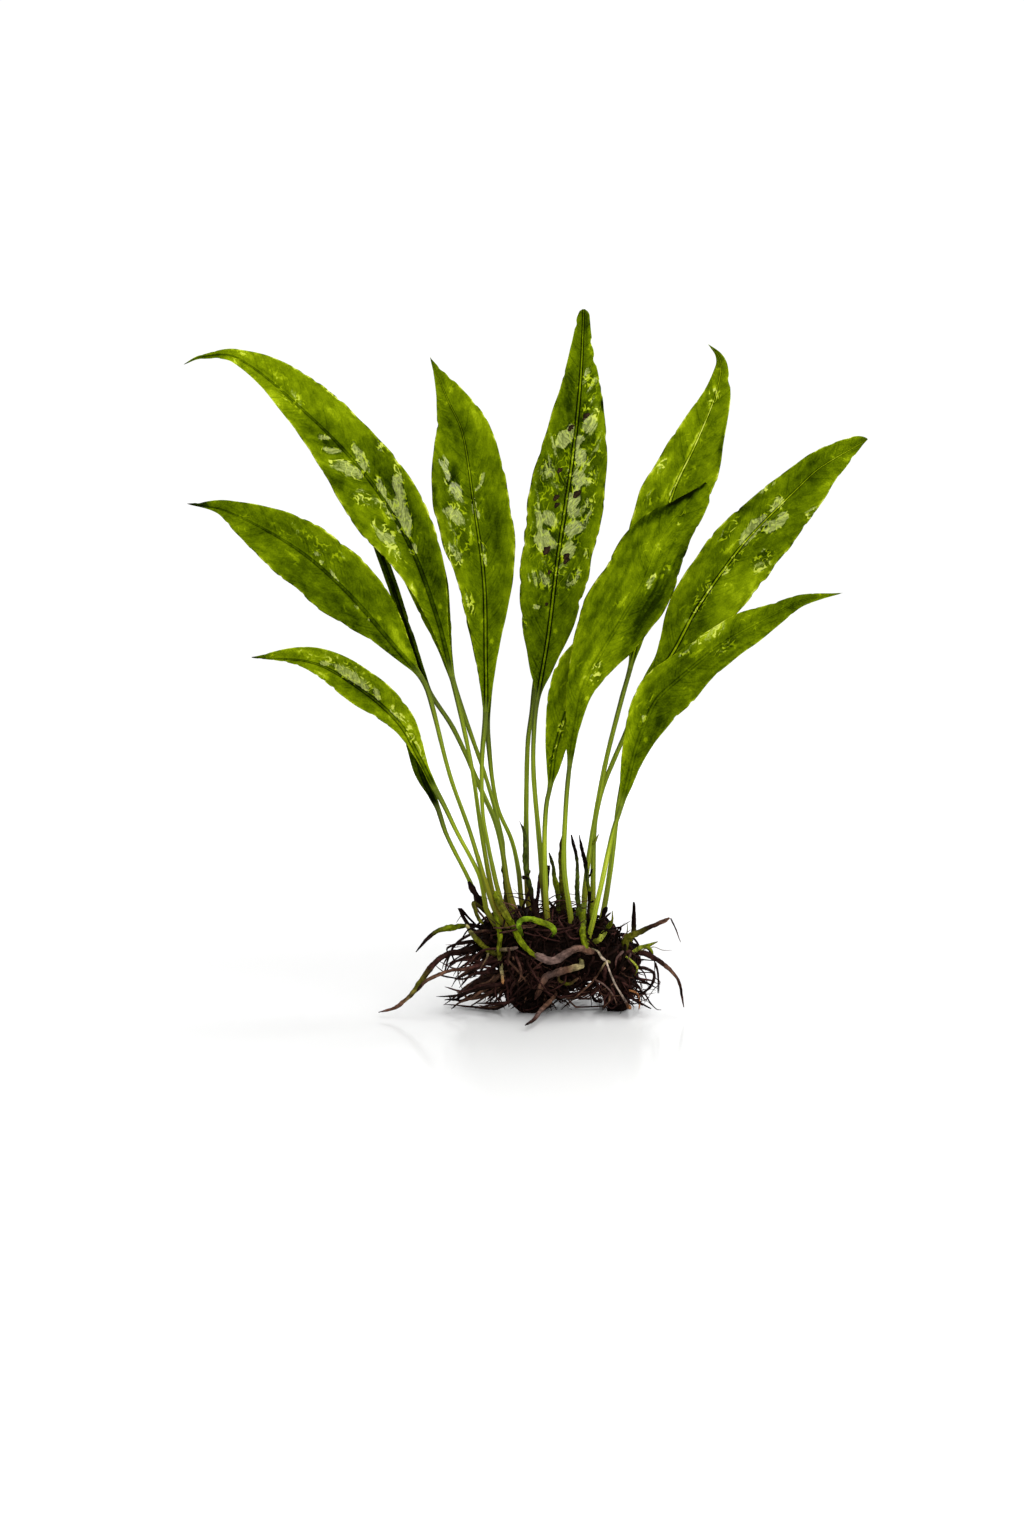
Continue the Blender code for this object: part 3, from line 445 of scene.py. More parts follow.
# Spore heaps: pixel of the photo and radius in pixels
SORI = (
    (586, 416.5, 3.0), (571, 427.5, 2.6), (560, 470, 2.3), (577, 494, 3.1), (556.5, 497.5, 2.5),
    (557, 505, 2.2), (547, 550, 3.4), (566.5, 556, 2.6), (566.5, 561, 2.5), (550, 572, 1.8),
    (547, 604, 1.5),
)

# Each spore heap is made of three domes: shift across, shift up and size, in parts of its radius.
SORUS_PARTS = ((0, 0, 1.05), (0.7, 0.5, 0.7), (-0.5, -0.75, 0.75))

# A dome is made of rings, stands a little sunk in the leaf, and is grainy.
SORI_AIM_DEPTH = -30
DOME_RINGS = 9
DOME_TURNS = 22
DOME_HEIGHT = 0.42
DOME_SINK = 0.12
DOME_GRAIN = 0.3
DOME_GRAIN_SIZES = (0.3 * MM, 0.7 * MM)

# Root colours, and the darkest one of the spore heaps
BLACK = (0.003, 0.0015, 0.001)
DARK = (0.009, 0.004, 0.003)
BROWN = (0.028, 0.011, 0.009)
REDDISH = (0.072, 0.036, 0.022)
PINKISH = (0.08, 0.05, 0.042)
PALE = (0.22, 0.19, 0.085)
ORANGE = (0.18, 0.076, 0.028)
OLIVE = (0.055, 0.055, 0.004)
GREEN = (0.072, 0.09, 0.002)
MOSS = (0.026, 0.036, 0.004)
BRIGHT = (0.105, 0.135, 0.003)
SPROUT = (0.085, 0.14, 0.006)
YELLOW = (0.23, 0.26, 0.03)
ROSE = (0.23, 0.18, 0.14)
SORUS_COLOUR = (0.02, 0.012, 0.005)

Strand = namedtuple("Strand", "name route radii colours")

# Rhizomes and roots that stand clear of the ball: radii and colours run evenly along the route.
STRANDS = (
    Strand("rhizome_green", ((-15.4, 33, -9), (-12.7, 27.5, -13), (-10, 23.4, -18), (-8.8, 20.4, -20),
           (-6.9, 17.9, -20), (-4.5, 15.7, -20), (-1.4, 14.5, -20), (1.1, 14.1, -20)),
           (0.85, 0.95, 0.85, 0.9, 0.75, 0.5, 0.4, 0.3),
           (GREEN, OLIVE, BRIGHT, BRIGHT, GREEN, OLIVE, PALE)),
    Strand("rhizome_creeping", ((-3.5, 15.5, -24), (0.5, 14, -24.5), (4.5, 16, -23.5), (8, 17.5, -22),
           (12, 16.5, -20)), (0.4, 0.95, 1.15, 0.85, 0.6), (PALE, PINKISH, PINKISH, REDDISH, PINKISH)),
    Strand("sprout_arched", ((-8.8, 24, -16.5), (-8, 25.4, -17.5), (-5.6, 25.8, -18), (-2.5, 24.8, -18),
           (0.2, 23.8, -17.5), (1.2, 22.3, -16.5)), (0.35, 0.62, 0.72, 0.8, 0.75, 0.3),
           (MOSS, SPROUT, SPROUT, BRIGHT, SPROUT, MOSS)),
    Strand("sprout_right", ((14, 20, -16.5), (16, 23, -18), (17.5, 25.5, -18.5), (17.5, 28, -18.5)),
           (0.7, 0.7, 0.6, 0.2), (OLIVE, YELLOW, GREEN, OLIVE)),
    Strand("root_green", ((-15.6, 28.5, -9), (-14.4, 24.2, -15), (-14, 20.5, -17), (-14.3, 16.7, -18),
           (-13.7, 12.9, -18), (-13.1, 7.6, -17)), (0.6, 0.65, 0.62, 0.6, 0.45, 0.42),
           (GREEN, GREEN, OLIVE, PALE, ORANGE)),
    Strand("root_olive", ((-23.5, 24, -4), (-21, 20.5, -9), (-18.5, 18, -13), (-15.4, 16, -16)),
           (0.4, 0.7, 0.8, 0.6), (PALE, OLIVE, OLIVE, DARK)),
    Strand("root_front", ((9, 12.5, -24), (3, 11, -27), (-1, 9.5, -28.5), (-3, 5.5, -31),
           (-4.2, 3.2, -28)), (0.6, 0.75, 1.0, 0.9, 0.55),
           (OLIVE, PALE, REDDISH, PINKISH, REDDISH, BROWN)),
    Strand("root_left_long", ((-24, 16.8, -9), (-28.5, 15.9, -11), (-32.2, 13.4, -12), (-35.9, 8.6, -13),
           (-38.4, 5, -14), (-43.3, 0.9, -15), (-48, -0.4, -15)),
           (0.85, 0.85, 0.8, 0.8, 0.75, 0.55, 0.25), (DARK, BLACK, DARK, BROWN, OLIVE, REDDISH, BROWN)),
    Strand("root_left_low", ((-24, 11.6, -13), (-27, 11.4, -14), (-31, 10.2, -14.5), (-34.7, 8.3, -14.5),
           (-37.8, 5, -14)), (0.65, 0.6, 0.5, 0.5, 0.4), (DARK, BROWN, REDDISH, BLACK)),
    Strand("root_left_high", ((-22, 24, -3), (-26.5, 23.5, -6), (-31, 22.5, -9), (-34, 20.5, -11),
           (-37.5, 16.5, -14)), (0.5, 0.55, 0.9, 0.55, 0.3), (BLACK, BLACK, GREEN, DARK, BLACK)),
    Strand("twig_left", ((-21.5, 22.5, 4), (-23.5, 25, 4), (-25.5, 29, 4)), (0.6, 0.45, 0.2),
           (DARK, BLACK, BLACK)),
    Strand("root_right_long", ((24, 16.5, -8), (28, 15.5, -10), (33, 12, -12), (36, 8.5, -13),
           (37, 4, -13), (37.5, 1, -13)), (0.8, 0.8, 0.7, 0.5, 0.4, 0.25),
           (DARK, BROWN, DARK, REDDISH, DARK, BROWN)),
    Strand("stick_slanting", ((21.5, 20.5, -9), (26, 22.5, -11), (30.5, 24.5, -12.5), (33.5, 26, -13)),
           (1.0, 0.9, 0.65, 0.5), (OLIVE, OLIVE, DARK, REDDISH)),
    Strand("stick_upright", ((23.5, 21.5, 4), (23.5, 26, 4), (23.5, 30.5, 4)), (0.6, 0.65, 0.4),
           (OLIVE, DARK, BLACK)),
)

# Material slots of the strands that are no plain roots, and the slots with living skin
STRAND_SLOTS = {
    "rhizome_green": "rhizome_green",
    "root_green": "rhizome_green",
    "root_olive": "rhizome_green",
    "rhizome_creeping": "rhizome_brown",
    "root_front": "rhizome_brown",
}
LIVING_SLOTS = ("rhizome_green", "sprout")

# Old broken stalks that stand between the live ones
STUBS = (
    Strand("stub_01", ((-12, 30, 10), (-12.3, 34, 10), (-12.6, 37.5, 10), (-13.3, 40.6, 10)),
           (1.0, 1.0, 0.75, 0.62, 0.58), (DARK, DARK, OLIVE, BLACK)),
    Strand("stub_02", ((-4.6, 29.5, -11), (-5.8, 36, -10.5), (-6.7, 39, -10), (-7, 46.6, -9.5),
           (-7.2, 50.2, -9.5), (-8.5, 53.1, -9.5)), (1.1, 1.0, 0.6, 0.65, 0.65, 0.6, 0.5, 0.2),
           (DARK, DARK, BLACK, MOSS, MOSS, MOSS, BLACK)),
    Strand("stub_03", ((-3.8, 29.5, -1), (-3.3, 33, -1), (-3, 36.3, -0.5), (-2.7, 39, 0.5)),
           (0.9, 0.9, 0.55, 0.45, 0.4), (BLACK, DARK, BROWN)),
    Strand("stub_04", ((2.6, 29, 0), (2.2, 33.5, 1), (1.4, 37, 2), (0.8, 40.9, 3), (-0.2, 44.3, 3.5)),
           (1.1, 1.1, 0.78, 0.76, 0.7, 0.5, 0.36), (OLIVE, OLIVE, MOSS, GREEN, MOSS, BLACK)),
    Strand("stub_05", ((4, 29, -3.5), (3.4, 37, -4), (3.2, 42.8, -4.5), (3.6, 49, -5)),
           (1.0, 1.0, 0.8, 0.76, 0.64), (DARK, DARK, OLIVE, OLIVE, BROWN)),
    Strand("stub_06", ((8, 27, -5), (7.7, 33, -5.5), (7.7, 40.2, -6), (7.4, 43.6, -6), (6.5, 47, -6),
           (6, 49.3, -6)), (1.0, 1.0, 0.7, 0.7, 0.62, 0.42, 0.46, 0.4),
           (GREEN, GREEN, MOSS, MOSS, MOSS, BLACK, BLACK)),
    Strand("stub_07", ((11.5, 28, -3), (10.3, 38.6, -3), (9.9, 41.5, -3), (9.4, 43.6, -3.5),
           (8.9, 45.6, -4), (8.2, 49.3, -4)), (0.8, 0.8, 0.55, 0.5, 0.52, 0.55, 0.46, 0.2),
           (OLIVE, OLIVE, GREEN, GREEN, MOSS, BLACK, BLACK, BLACK)),
    Strand("stub_08", ((14.2, 24, -6), (15, 27, -7), (15.9, 29, -8)), (0.7, 0.55, 0.7),
           (DARK, DARK, BLACK)),
)

# Thin roots and twigs seen one by one, under the name of what they grow on: route, radii and colours
THREADS = {
    "root_ball": (
        (((13.4, 16.7, -20), (14.5, 14.9, -21), (15.8, 14.0, -21.5)), (0.25, 0.28, 0.4), (OLIVE, ROSE)),
        (((15.7, 13.6, -21.5), (12.6, 9.0, -22), (9.4, 5.8, -21), (3.2, 0.4, -22)),
         (0.4, 0.26, 0.28, 0.2), (PALE, REDDISH, REDDISH, BLACK)),
        (((15.9, 13.6, -21.5), (18.2, 7.6, -20), (19.8, 4.9, -19), (21.4, 2.3, -18), (22.5, 0.7, -18)),
         (0.3, 0.25, 0.28, 0.45, 0.7), (PALE, ROSE, ROSE, PINKISH, ORANGE)),
        (((12.6, 9.0, -22), (15, 7.4, -21), (17.4, 4.9, -20), (18.8, 1.7, -19)), (0.28, 0.22, 0.18),
         (REDDISH, PINKISH, REDDISH)),
        (((13.4, 7.8, -21), (15.3, 4.7, -20), (14.7, 2.8, -20)), (0.2, 0.15, 0.1), (BROWN, BROWN)),
        (((20.4, 16.5, -12), (18.7, 14.6, -14), (18.4, 12.4, -14.5)), (0.4, 0.4, 0.2), (PINKISH, BROWN)),
        (((22.6, 16, -10), (22.0, 14.2, -12), (23.2, 12.9, -12)), (0.35, 0.35, 0.2), (PINKISH, BROWN)),
        (((22.4, 14.5, -12), (24.4, 12.2, -13), (23.8, 9.8, -12)), (0.25, 0.3, 0.2), (YELLOW, OLIVE)),
        (((24.0, 12.6, -10), (27.2, 11.9, -11), (29.0, 10.8, -9)), (0.35, 0.35, 0.3), (PINKISH, DARK)),
        (((29.0, 10.8, -9), (28.4, 7.1, -9), (25.7, 4.9, -9), (23.6, 4.4, -9)), (0.3, 0.45, 0.4, 0.4),
         (DARK, BLACK)),
        (((26.3, 4.9, -9), (28.1, 2.3, -10), (30, 0.4, -11), (31.2, 0.3, -11)), (0.3, 0.3, 0.2, 0.1),
         (DARK, DARK)),
        (((23.3, 3.3, -12), (25.7, 2.0, -12), (28.4, 0.6, -12)), (0.4, 0.4, 0.2), (BROWN, BLACK)),
        (((24.5, 4.8, -10), (25.2, 2.2, -10), (24.9, 0.4, -10)), (0.3, 0.3, 0.2), (ORANGE, ORANGE)),
        (((23.8, 16.7, -9), (25.5, 17.8, -9.5), (27.3, 18.3, -10), (30.3, 19.4, -10)),
         (0.5, 0.6, 0.6, 0.15), (OLIVE, YELLOW, GREEN, OLIVE)),
        (((26.8, 18.0, -10), (28.2, 17.4, -10.5), (28.9, 15.9, -10.5)), (0.35, 0.5, 0.3),
         (YELLOW, GREEN)),
        (((28.9, 17.9, -10), (31.6, 17, -10), (34.3, 17, -10)), (0.14, 0.12, 0.06), (PALE, BROWN)),
        (((21.2, 20.2, -8), (21.7, 22.6, -8), (21.7, 24.5, -8)), (0.35, 0.22, 0.08), (DARK, OLIVE)),
        (((15, 22.1, -12), (18.5, 22.4, -11), (18.8, 21, -10), (17.7, 19.1, -10)), (0.25, 0.25, 0.25),
         (BLACK, DARK)),
        (((19.8, 23.4, -9), (19.3, 21.6, -9), (18.2, 19.4, -9)), (0.15, 0.25, 0.35), (BLACK, BLACK)),
        (((16.6, 21.3, -9), (16.2, 19.6, -9), (16.2, 18, -9)), (0.12, 0.25, 0.4), (BLACK, BLACK)),
        (((-23.0, 19.4, -8), (-26.4, 18.6, -9), (-28.7, 17.6, -10), (-28.8, 16.6, -10)),
         (0.6, 0.55, 0.4, 0.3), (DARK, BLACK)),
        (((-20, 8.2, -8), (-21.9, 6.7, -10), (-24.5, 4.6, -11), (-28.4, 4.1, -12), (-31.8, 4.0, -12)),
         (1.1, 1.0, 0.8, 0.4, 0.12), (BLACK, DARK, BLACK)),
        (((-17, 6.6, -10), (-21.9, 3.6, -12), (-25.3, 2.3, -13), (-27.6, 0.5, -13)),
         (0.7, 0.55, 0.4, 0.2), (DARK, REDDISH, BLACK)),
        (((-15, 6.2, -12), (-19.1, 3.3, -14), (-22.7, 1.0, -15)), (0.6, 0.4, 0.15), (REDDISH, BLACK)),
        (((-14.6, 5.8, -13), (-16.2, 3.4, -14), (-17.5, 1.2, -14)), (0.4, 0.3, 0.15), (DARK, BLACK)),
        (((-15.2, 6.4, -13), (-14.6, 3.2, -15), (-12.9, 1.9, -15), (-10.8, 3.4, -14)),
         (0.3, 0.22, 0.22, 0.3), (DARK, BROWN)),
        (((-11.6, 12, -18), (-9.2, 7.8, -18), (-8.4, 4.4, -18)), (0.4, 0.4, 0.3), (BLACK, DARK)),
        (((-13.9, 17.1, -21), (-11.1, 17.3, -21.5), (-9, 17.8, -22)), (0.4, 0.5, 0.5), (OLIVE, PINKISH)),
        (((-16.8, 16.2, -20), (-17.9, 14.4, -19), (-19.6, 11.6, -17)), (0.4, 0.3, 0.2), (PALE, REDDISH)),
        (((2.4, 3.4, -14), (4.6, 2.6, -16), (5.6, 1.2, -17)), (0.4, 0.3, 0.2), (BLACK, BLACK)),
        (((11.2, 4.6, -14), (11.6, 3.0, -15), (11.6, 1.2, -15)), (0.3, 0.2, 0.1), (BLACK, BLACK)),
        (((1.7, 5, -15), (-0.2, 2.5, -18), (-2.6, 0, -24), (-4.5, -2.5, -33), (-6.9, -4, -41)),
         (0.45, 0.6, 0.65, 0.55, 0.3), (BROWN, REDDISH, REDDISH, PINKISH, BROWN, BLACK)),
        (((2.6, 8.5, -16), (5.4, 7.6, -17), (8, 9.2, -17)), (0.3, 0.5, 0.4), (REDDISH, OLIVE, REDDISH)),
        (((-21.2, 30.2, -2), (-20.1, 26.1, -6), (-18.8, 24.4, -8)), (0.4, 0.6, 0.5), (DARK, OLIVE)),
    ),
    "root_right_long": (
        (((29.5, 13.5, -11), (30.3, 10.3, -11), (30.3, 4.9, -11)), (0.3, 0.28, 0.2), (DARK, BLACK)),
    ),
    "stick_slanting": (
        (((33.8, 25.9, -13), (35.4, 22.6, -13), (36.2, 20.2, -13), (36.7, 19.1, -13)),
         (0.22, 0.2, 0.16, 0.08), (DARK, BROWN)),
    ),
    "sprout_right": (
        (((12.9, 24.8, -15), (15, 25.8, -16), (17.1, 27.5, -16.7)), (0.45, 0.35, 0.3), (BLACK, DARK)),
    ),
    "twig_left": (
        (((-24.1, 25.8, 4), (-24.2, 27, 3.5), (-23.9, 28, 3.5)), (0.35, 0.25, 0.15), (BLACK, BLACK)),
        (((-24.6, 27, 4), (-25.6, 25.6, 3.5), (-26.2, 24.6, 3.5)), (0.15, 0.1, 0.06), (BROWN, BROWN)),
    ),
    "root_left_long": (
        (((-28.2, 15.8, -10.5), (-29.7, 13.2, -11), (-30.1, 11.6, -11)), (0.3, 0.2, 0.1),
         (BROWN, BLACK)),
    ),
    "frond_08": (
        (((10.2, 17.3, -18.5), (9.3, 20.5, -17), (9.1, 25, -9), (9.5, 30, 0.5)), (0.7, 1.0, 1.1, 1.0),
         (GREEN, GREEN, GREEN)),
        (((12.1, 46.5, 3.5), (12.9, 48, 3.5), (13.7, 49.5, 3.5)), (0.45, 0.35, 0.12), (GREEN, OLIVE)),
    ),
    "frond_05": (
        (((-22.8, 36.2, 1), (-21.9, 34.6, 0.8), (-21, 33, 0.5), (-20.2, 31.6, 0.5), (-19.1, 29.4, 1)),
         (0.35, 0.9, 0.75, 1.0, 0.7), (BLACK, DARK, BLACK, DARK)),
        (((-20.7, 33.8, 0.3), (-21.4, 33.6, 0.3), (-22.2, 33.2, 0.3)), (0.4, 0.35, 0.5), (BLACK, DARK)),
        (((-20.6, 32.4, 0.2), (-19.8, 32, 0.2), (-19.1, 31.5, 0.2)), (0.4, 0.4, 0.6), (BLACK, DARK)),
        (((-21, 32, 0), (-20.5, 28.8, -3), (-18.8, 26.5, -6), (-17.2, 24.8, -9)), (0.4, 0.3, 0.3, 0.3),
         (DARK, BROWN, DARK)),
    ),
    "stub_02": (
        (((-5.9, 36.8, -11), (-6.8, 37.4, -11), (-7.8, 37.2, -11)), (0.35, 0.35, 0.7), (BLACK, BLACK)),
        (((-6.3, 38, -11), (-5.9, 38.8, -11), (-5.8, 39.5, -11)), (0.35, 0.55, 0.5), (BLACK, MOSS)),
        (((-5.6, 34, -11), (-6.6, 31.5, -11), (-7.7, 28.5, -11)), (0.35, 0.3, 0.4), (DARK, BLACK)),
    ),
    "stub_03": (
        (((-0.3, 40.7, -6), (-0.4, 38.3, -6), (-0.4, 35.7, -6), (-0.8, 33.1, -6), (-1.5, 28, -6)),
         (0.42, 0.22, 0.28, 0.25, 0.4), (BLACK, BLACK, DARK)),
    ),
    "stub_04": (
        (((-0.3, 30.8, -8), (0.6, 29.5, -8), (1.6, 27.5, -8)), (0.3, 0.28, 0.35), (BLACK, DARK)),
    ),
    "stub_07": (
        (((11.7, 39.7, -3), (11.5, 38.6, -3), (10.7, 37, -3)), (0.38, 0.22, 0.25), (BLACK, BLACK)),
        (((11.1, 33.4, -6), (11, 30.6, -6), (10.6, 25.7, -7)), (0.55, 0.35, 0.45), (BLACK, BLACK, DARK)),
        (((11, 30.3, -6), (11.6, 30.5, -6), (12.3, 30.8, -6)), (0.25, 0.22, 0.32), (BLACK, BLACK)),
    ),
}

# The dark mass of the root ball: centre and radii of its lumps
CORE_LUMPS = (
    ((2, 1, 17.5), (18.5, 15.5, 9.8)),
    ((-4.5, -1, 9.5), (8.2, 11, 8.3)),
    ((19, -1, 9.0), (5.0, 8, 8.9)),
    ((-8, 3, 20.0), (12, 10, 7.2)),
    ((15, 0, 15.0), (10.5, 11.5, 6.0)),
)

# The lumps are rough in two sizes, written as height and size. Directions are taken from their middle,
# rays come from outside the ball, and nothing sinks below the lowest height.
CORE_ROUGHNESS = ((1.6, 6.0), (0.7, 2.2))
CORE_MIDDLE = Vector((2, 0, 13)) * MM
CORE_FINENESS = 5
CORE_MOTTLE = 2.5 * MM
CORE_COLOURS = (BLACK, BLACK, DARK)
OUTSIDE_BALL = 100
LOWEST = 0.2 * MM

# Every root is a tube with grooves along it, knots and a narrow end. Colours are darker in the grooves
# and lighter on the knots: painted shade and painted light that follow the relief.
TUBE_END = (0.93, 1.0)
TUBE_END_NARROWER = 0.5
GROOVES_ROUND = 1.7
GROOVE_LENGTH = 3 * MM
GROOVE_SHADE = 0.5
KNOT_SIZE = 1.0 * MM
KNOT_SHADE = 0.7

# Strands and stubs: how they are divided, and how they lie on the dark mass
STRAND_STEP = 0.4 * MM
STRAND_FEWEST_STEPS = 12
STRAND_SIDES = 20
STRAND_SINK = 0.35
STRAND_LUMPS = 0.3
STRAND_GAP = 4.6 * MM
STUB_LUMPS = 0.36
THREAD_STEP = 0.5 * MM
THREAD_FEWEST_STEPS = 8
THREAD_SIDES = 8
THREAD_LUMPS = 0.22
FOOT_LENGTH = 8 * MM
NEAR_BALL = 9 * MM
ANCHOR_DEPTH = 1 * MM
LIFTS = 80
LIFT = 0.2
STARTS_ON_STALK = ("rhizome_green", "root_green", "root_olive")
HANGS_FREE = ("root_green", "root_front")
ARCHES = ("sprout_arched",)

# Roots that crawl over the dark mass. Starts are height over distance from the middle of the ball.
SEED = 5
MAT_ROOTS = 640
MAT_COLOURS = (BLACK, BLACK, BLACK, DARK, DARK, BLACK, BROWN)
MAT_LAYER = (-0.3, 1.3)
MAT_STARTS = (-1.1, 1.3)
MAT_KNOTS = (7, 17)
MAT_STEPS = (0.8, 1.3)
MAT_CLIMB = 0.25
MAT_TURN = 0.45
MAT_SAG = 0.08
MAT_LOWEST = 0.4 * MM
MAT_FINENESS = 1.8
MAT_RADII = (0.22, 0.28, 0.36, 0.45, 0.55)
MAT_TAPER = (1, 0.9, 0.5)
MAT_SIDES = 6
MAT_LUMPS = 0.15

# Side roots of the loose roots
ROOT_COLOURS = (BLACK, BLACK, DARK, DARK, DARK, BROWN, BROWN, BROWN, REDDISH)
BRANCH_AHEAD = 0.6
BRANCH_CURL = (0.03, 0.16)
BRANCH_KNOTS = (4, 9)
BRANCH_STEP = 0.8
BRANCH_SAG = 0.12
BRANCH_LOWEST = 0.35 * MM
BRANCH_SIZES = (0.3, 0.6)
BRANCH_TAPER = 0.4
BRANCH_SIDES = 5
BRANCH_LUMPS = 0.15

# Short fine hairs
HAIRS = 130
HAIR_STARTS = (-0.9, 1.5)
HAIR_SPREAD = 0.9
HAIR_KNOTS = (4, 7)
HAIR_STEPS = (0.5, 0.9)
HAIR_TURN = 0.4
HAIR_SAG = 0.1
HAIR_RADII = (0.06, 0.13)
HAIR_TAPER = 0.3
HAIR_SIDES = 4

# Loose roots: how they are bent and divided
SPRAY_KNOT = 3.2 * MM
SPRAY_FEWEST_KNOTS = 3
SPRAY_SWERVE = (0.2, 1.0)
SPRAY_JITTER = 2.0
SPRAY_STEP = 0.55 * MM
SPRAY_FEWEST_STEPS = 8
SPRAY_TAPER = (1, 0.9, 0.75, 0.3)
SPRAY_SIDES = 7
SPRAY_LUMPS = 0.2
MOST_BRANCHES = 1

# Loose roots: how many, the box they start in, the box they end in, thinnest and thickest radius, and how
# much they bend. A box is three ranges: across, up and depth.
Spray = namedtuple("Spray", "count start end radii bend")
SPRAYS = (
    Spray(16, ((-14, -6), (6, 14), (-12, 6)), ((-30, -20), (1.5, 6), (-16, 8)), (0.38, 0.72), 0.3),
    Spray(15, ((-17, -11), (10, 18), (-12, 2)), ((-31, -22), (5, 14), (-16, 4)), (0.32, 0.6), 0.35),
    Spray(16, ((-19, -13), (13, 23), (-10, 6)), ((-28, -20), (8, 21), (-14, 8)), (0.28, 0.52), 0.7),
    Spray(34, ((14, 22), (12, 17), (-13, 4)), ((13, 25), (0.6, 6), (-14, 4)), (0.2, 0.5), 0.4),
    Spray(30, ((-12, 4), (12, 18), (-17, -8)), ((-14, 6), (3, 8), (-18, -8)), (0.2, 0.5), 0.4),
    Spray(11, ((-13, -6), (6, 13), (-14, 0)), ((-21, -12), (0.5, 5), (-18, 4)), (0.28, 0.55), 0.4),
    Spray(20, ((-9, -1), (5, 10), (-13, 2)), ((-13, 2), (0.5, 3), (-16, 4)), (0.25, 0.5), 0.35),
    Spray(7, ((-3, 1), (5, 8), (-14, -2)), ((6, 14), (3, 6), (-14, -2)), (0.2, 0.38), 0.3),
    Spray(6, ((13, 16), (5, 9), (-10, 2)), ((2, 9), (2.5, 6), (-14, 2)), (0.2, 0.38), 0.3),
    Spray(7, ((1, 13), (6, 9), (-12, 2)), ((-1, 15), (2.5, 5), (-14, 4)), (0.2, 0.36), 0.5),
    Spray(20, ((18, 23), (4, 12), (-10, 6)), ((22, 30), (0.5, 7), (-14, 8)), (0.18, 0.42), 0.45),
    Spray(11, ((17, 22), (9, 17), (-10, 4)), ((23, 30), (5, 15), (-13, 6)), (0.2, 0.42), 0.5),
    Spray(14, ((-16, 12), (18, 23), (-16, -12)), ((-18, 14), (22, 28), (-15, -11)), (0.2, 0.42), 0.4),
    Spray(14, ((14, 21), (2, 8), (-12, -4)), ((13, 25), (0.4, 2), (-15, -6)), (0.2, 0.45), 0.4),
    Spray(36, ((-17, 12), (19, 24), (-12, 8)), ((-21, 14), (26, 33), (-13, 8)), (0.16, 0.42), 0.3),
    Spray(10, ((14, 22), (14, 19), (-10, 4)), ((15, 26), (19, 25), (-11, 5)), (0.15, 0.34), 0.35),
    Spray(30, ((-12, 18), (5, 14), (2, 12)), ((-22, 26), (0.5, 8), (14, 22)), (0.25, 0.55), 0.35),
    Spray(14, ((-14, 16), (12, 22), (6, 12)), ((-18, 20), (8, 22), (14, 20)), (0.2, 0.5), 0.5),
)


def seen(place):
    """Turn a place as seen from the front, in millimetres, into a place in the scene."""
    across = place[0] * MM - VIEW_CENTRE_ACROSS
    up = place[1] * MM - VIEW_CENTRE_UP
    depth = place[2] * MM
    sine = math.sin(VIEW_TILT)
    cosine = math.cos(VIEW_TILT)
    height = up * (VIEW_DISTANCE + depth * cosine) - depth * sine * VIEW_DISTANCE
    height /= VIEW_DISTANCE * cosine + up * sine
    distance = VIEW_DISTANCE + depth * cosine - height * sine
    x = VIEW_CENTRE_ACROSS + across * distance / VIEW_DISTANCE
    return Vector((x, depth, VIEW_CENTRE_Z + height))


def camera_place():
    """Return where the camera stands."""
    back = Vector((0, -math.cos(VIEW_TILT), math.sin(VIEW_TILT)))
    return Vector((VIEW_CENTRE_ACROSS, 0, VIEW_CENTRE_Z)) + back * VIEW_DISTANCE


def photo_pixel(point):
    """Return the pixel of the photo that shows a place in the scene."""
    way = point - camera_place()
    sine = math.sin(VIEW_TILT)
    cosine = math.cos(VIEW_TILT)
    distance = way.y * cosine - way.z * sine
    across = way.x / distance * VIEW_DISTANCE + VIEW_CENTRE_ACROSS
    up = (way.y * sine + way.z * cosine) / distance * VIEW_DISTANCE + VIEW_CENTRE_UP
    return PHOTO_MIDDLE_X + across / MM / PHOTO_SCALE, PHOTO_FLOOR_Y - up / MM / PHOTO_SCALE


def smoothstep(low, high, value):
    """Ease from 0 to 1 between two values."""
    t = min(max((value - low) / (high - low), 0.0), 1.0)
    return t * t * (3 - 2 * t)


def noise_at(*place):
    """Return soft noise around nothing for three numbers."""
    return noise.noise(Vector(place))


def smooth_route(points, count):
    """Read count even steps from a smooth curve through the points."""
    reach = [0.0]
    for first, second in zip(points, points[1:]):
        reach.append(reach[-1] + (second - first).length)
    last = len(points) - 1
    slopes = []
    for index in range(len(points)):
        before = max(index - 1, 0)
        after = min(index + 1, last)
        slopes.append((points[after] - points[before]) / (reach[after] - reach[before]))
    route = []
    span = 0
    for step in range(count):
        want = reach[-1] * step / (count - 1)
        while span < last - 1 and want > reach[span + 1]:
            span += 1
        length = reach[span + 1] - reach[span]
        t = (want - reach[span]) / length
        square = t * t
        cube = square * t
        route.append(
            points[span] * (2 * cube - 3 * square + 1)
            + slopes[span] * length * (cube - 2 * square + t)
            + points[span + 1] * (3 * square - 2 * cube)
            + slopes[span + 1] * length * (cube - square)
        )
    return route


def route_length(points):
    """Return the length of a line through points."""
    return sum((second - first).length for first, second in zip(points, points[1:]))


def directions(route):
    """Return the direction of a route at each of its points."""
    last = len(route) - 1
    return [(route[min(i + 1, last)] - route[max(i - 1, 0)]).normalized() for i in range(last + 1)]


def between(values, share):
    """Read a value a share of the way along an evenly spaced list."""
    place = min(max(share, 0.0), 1.0) * (len(values) - 1)
    index = min(int(place), len(values) - 2)
    part = place - index
    return values[index] * (1 - part) + values[index + 1] * part


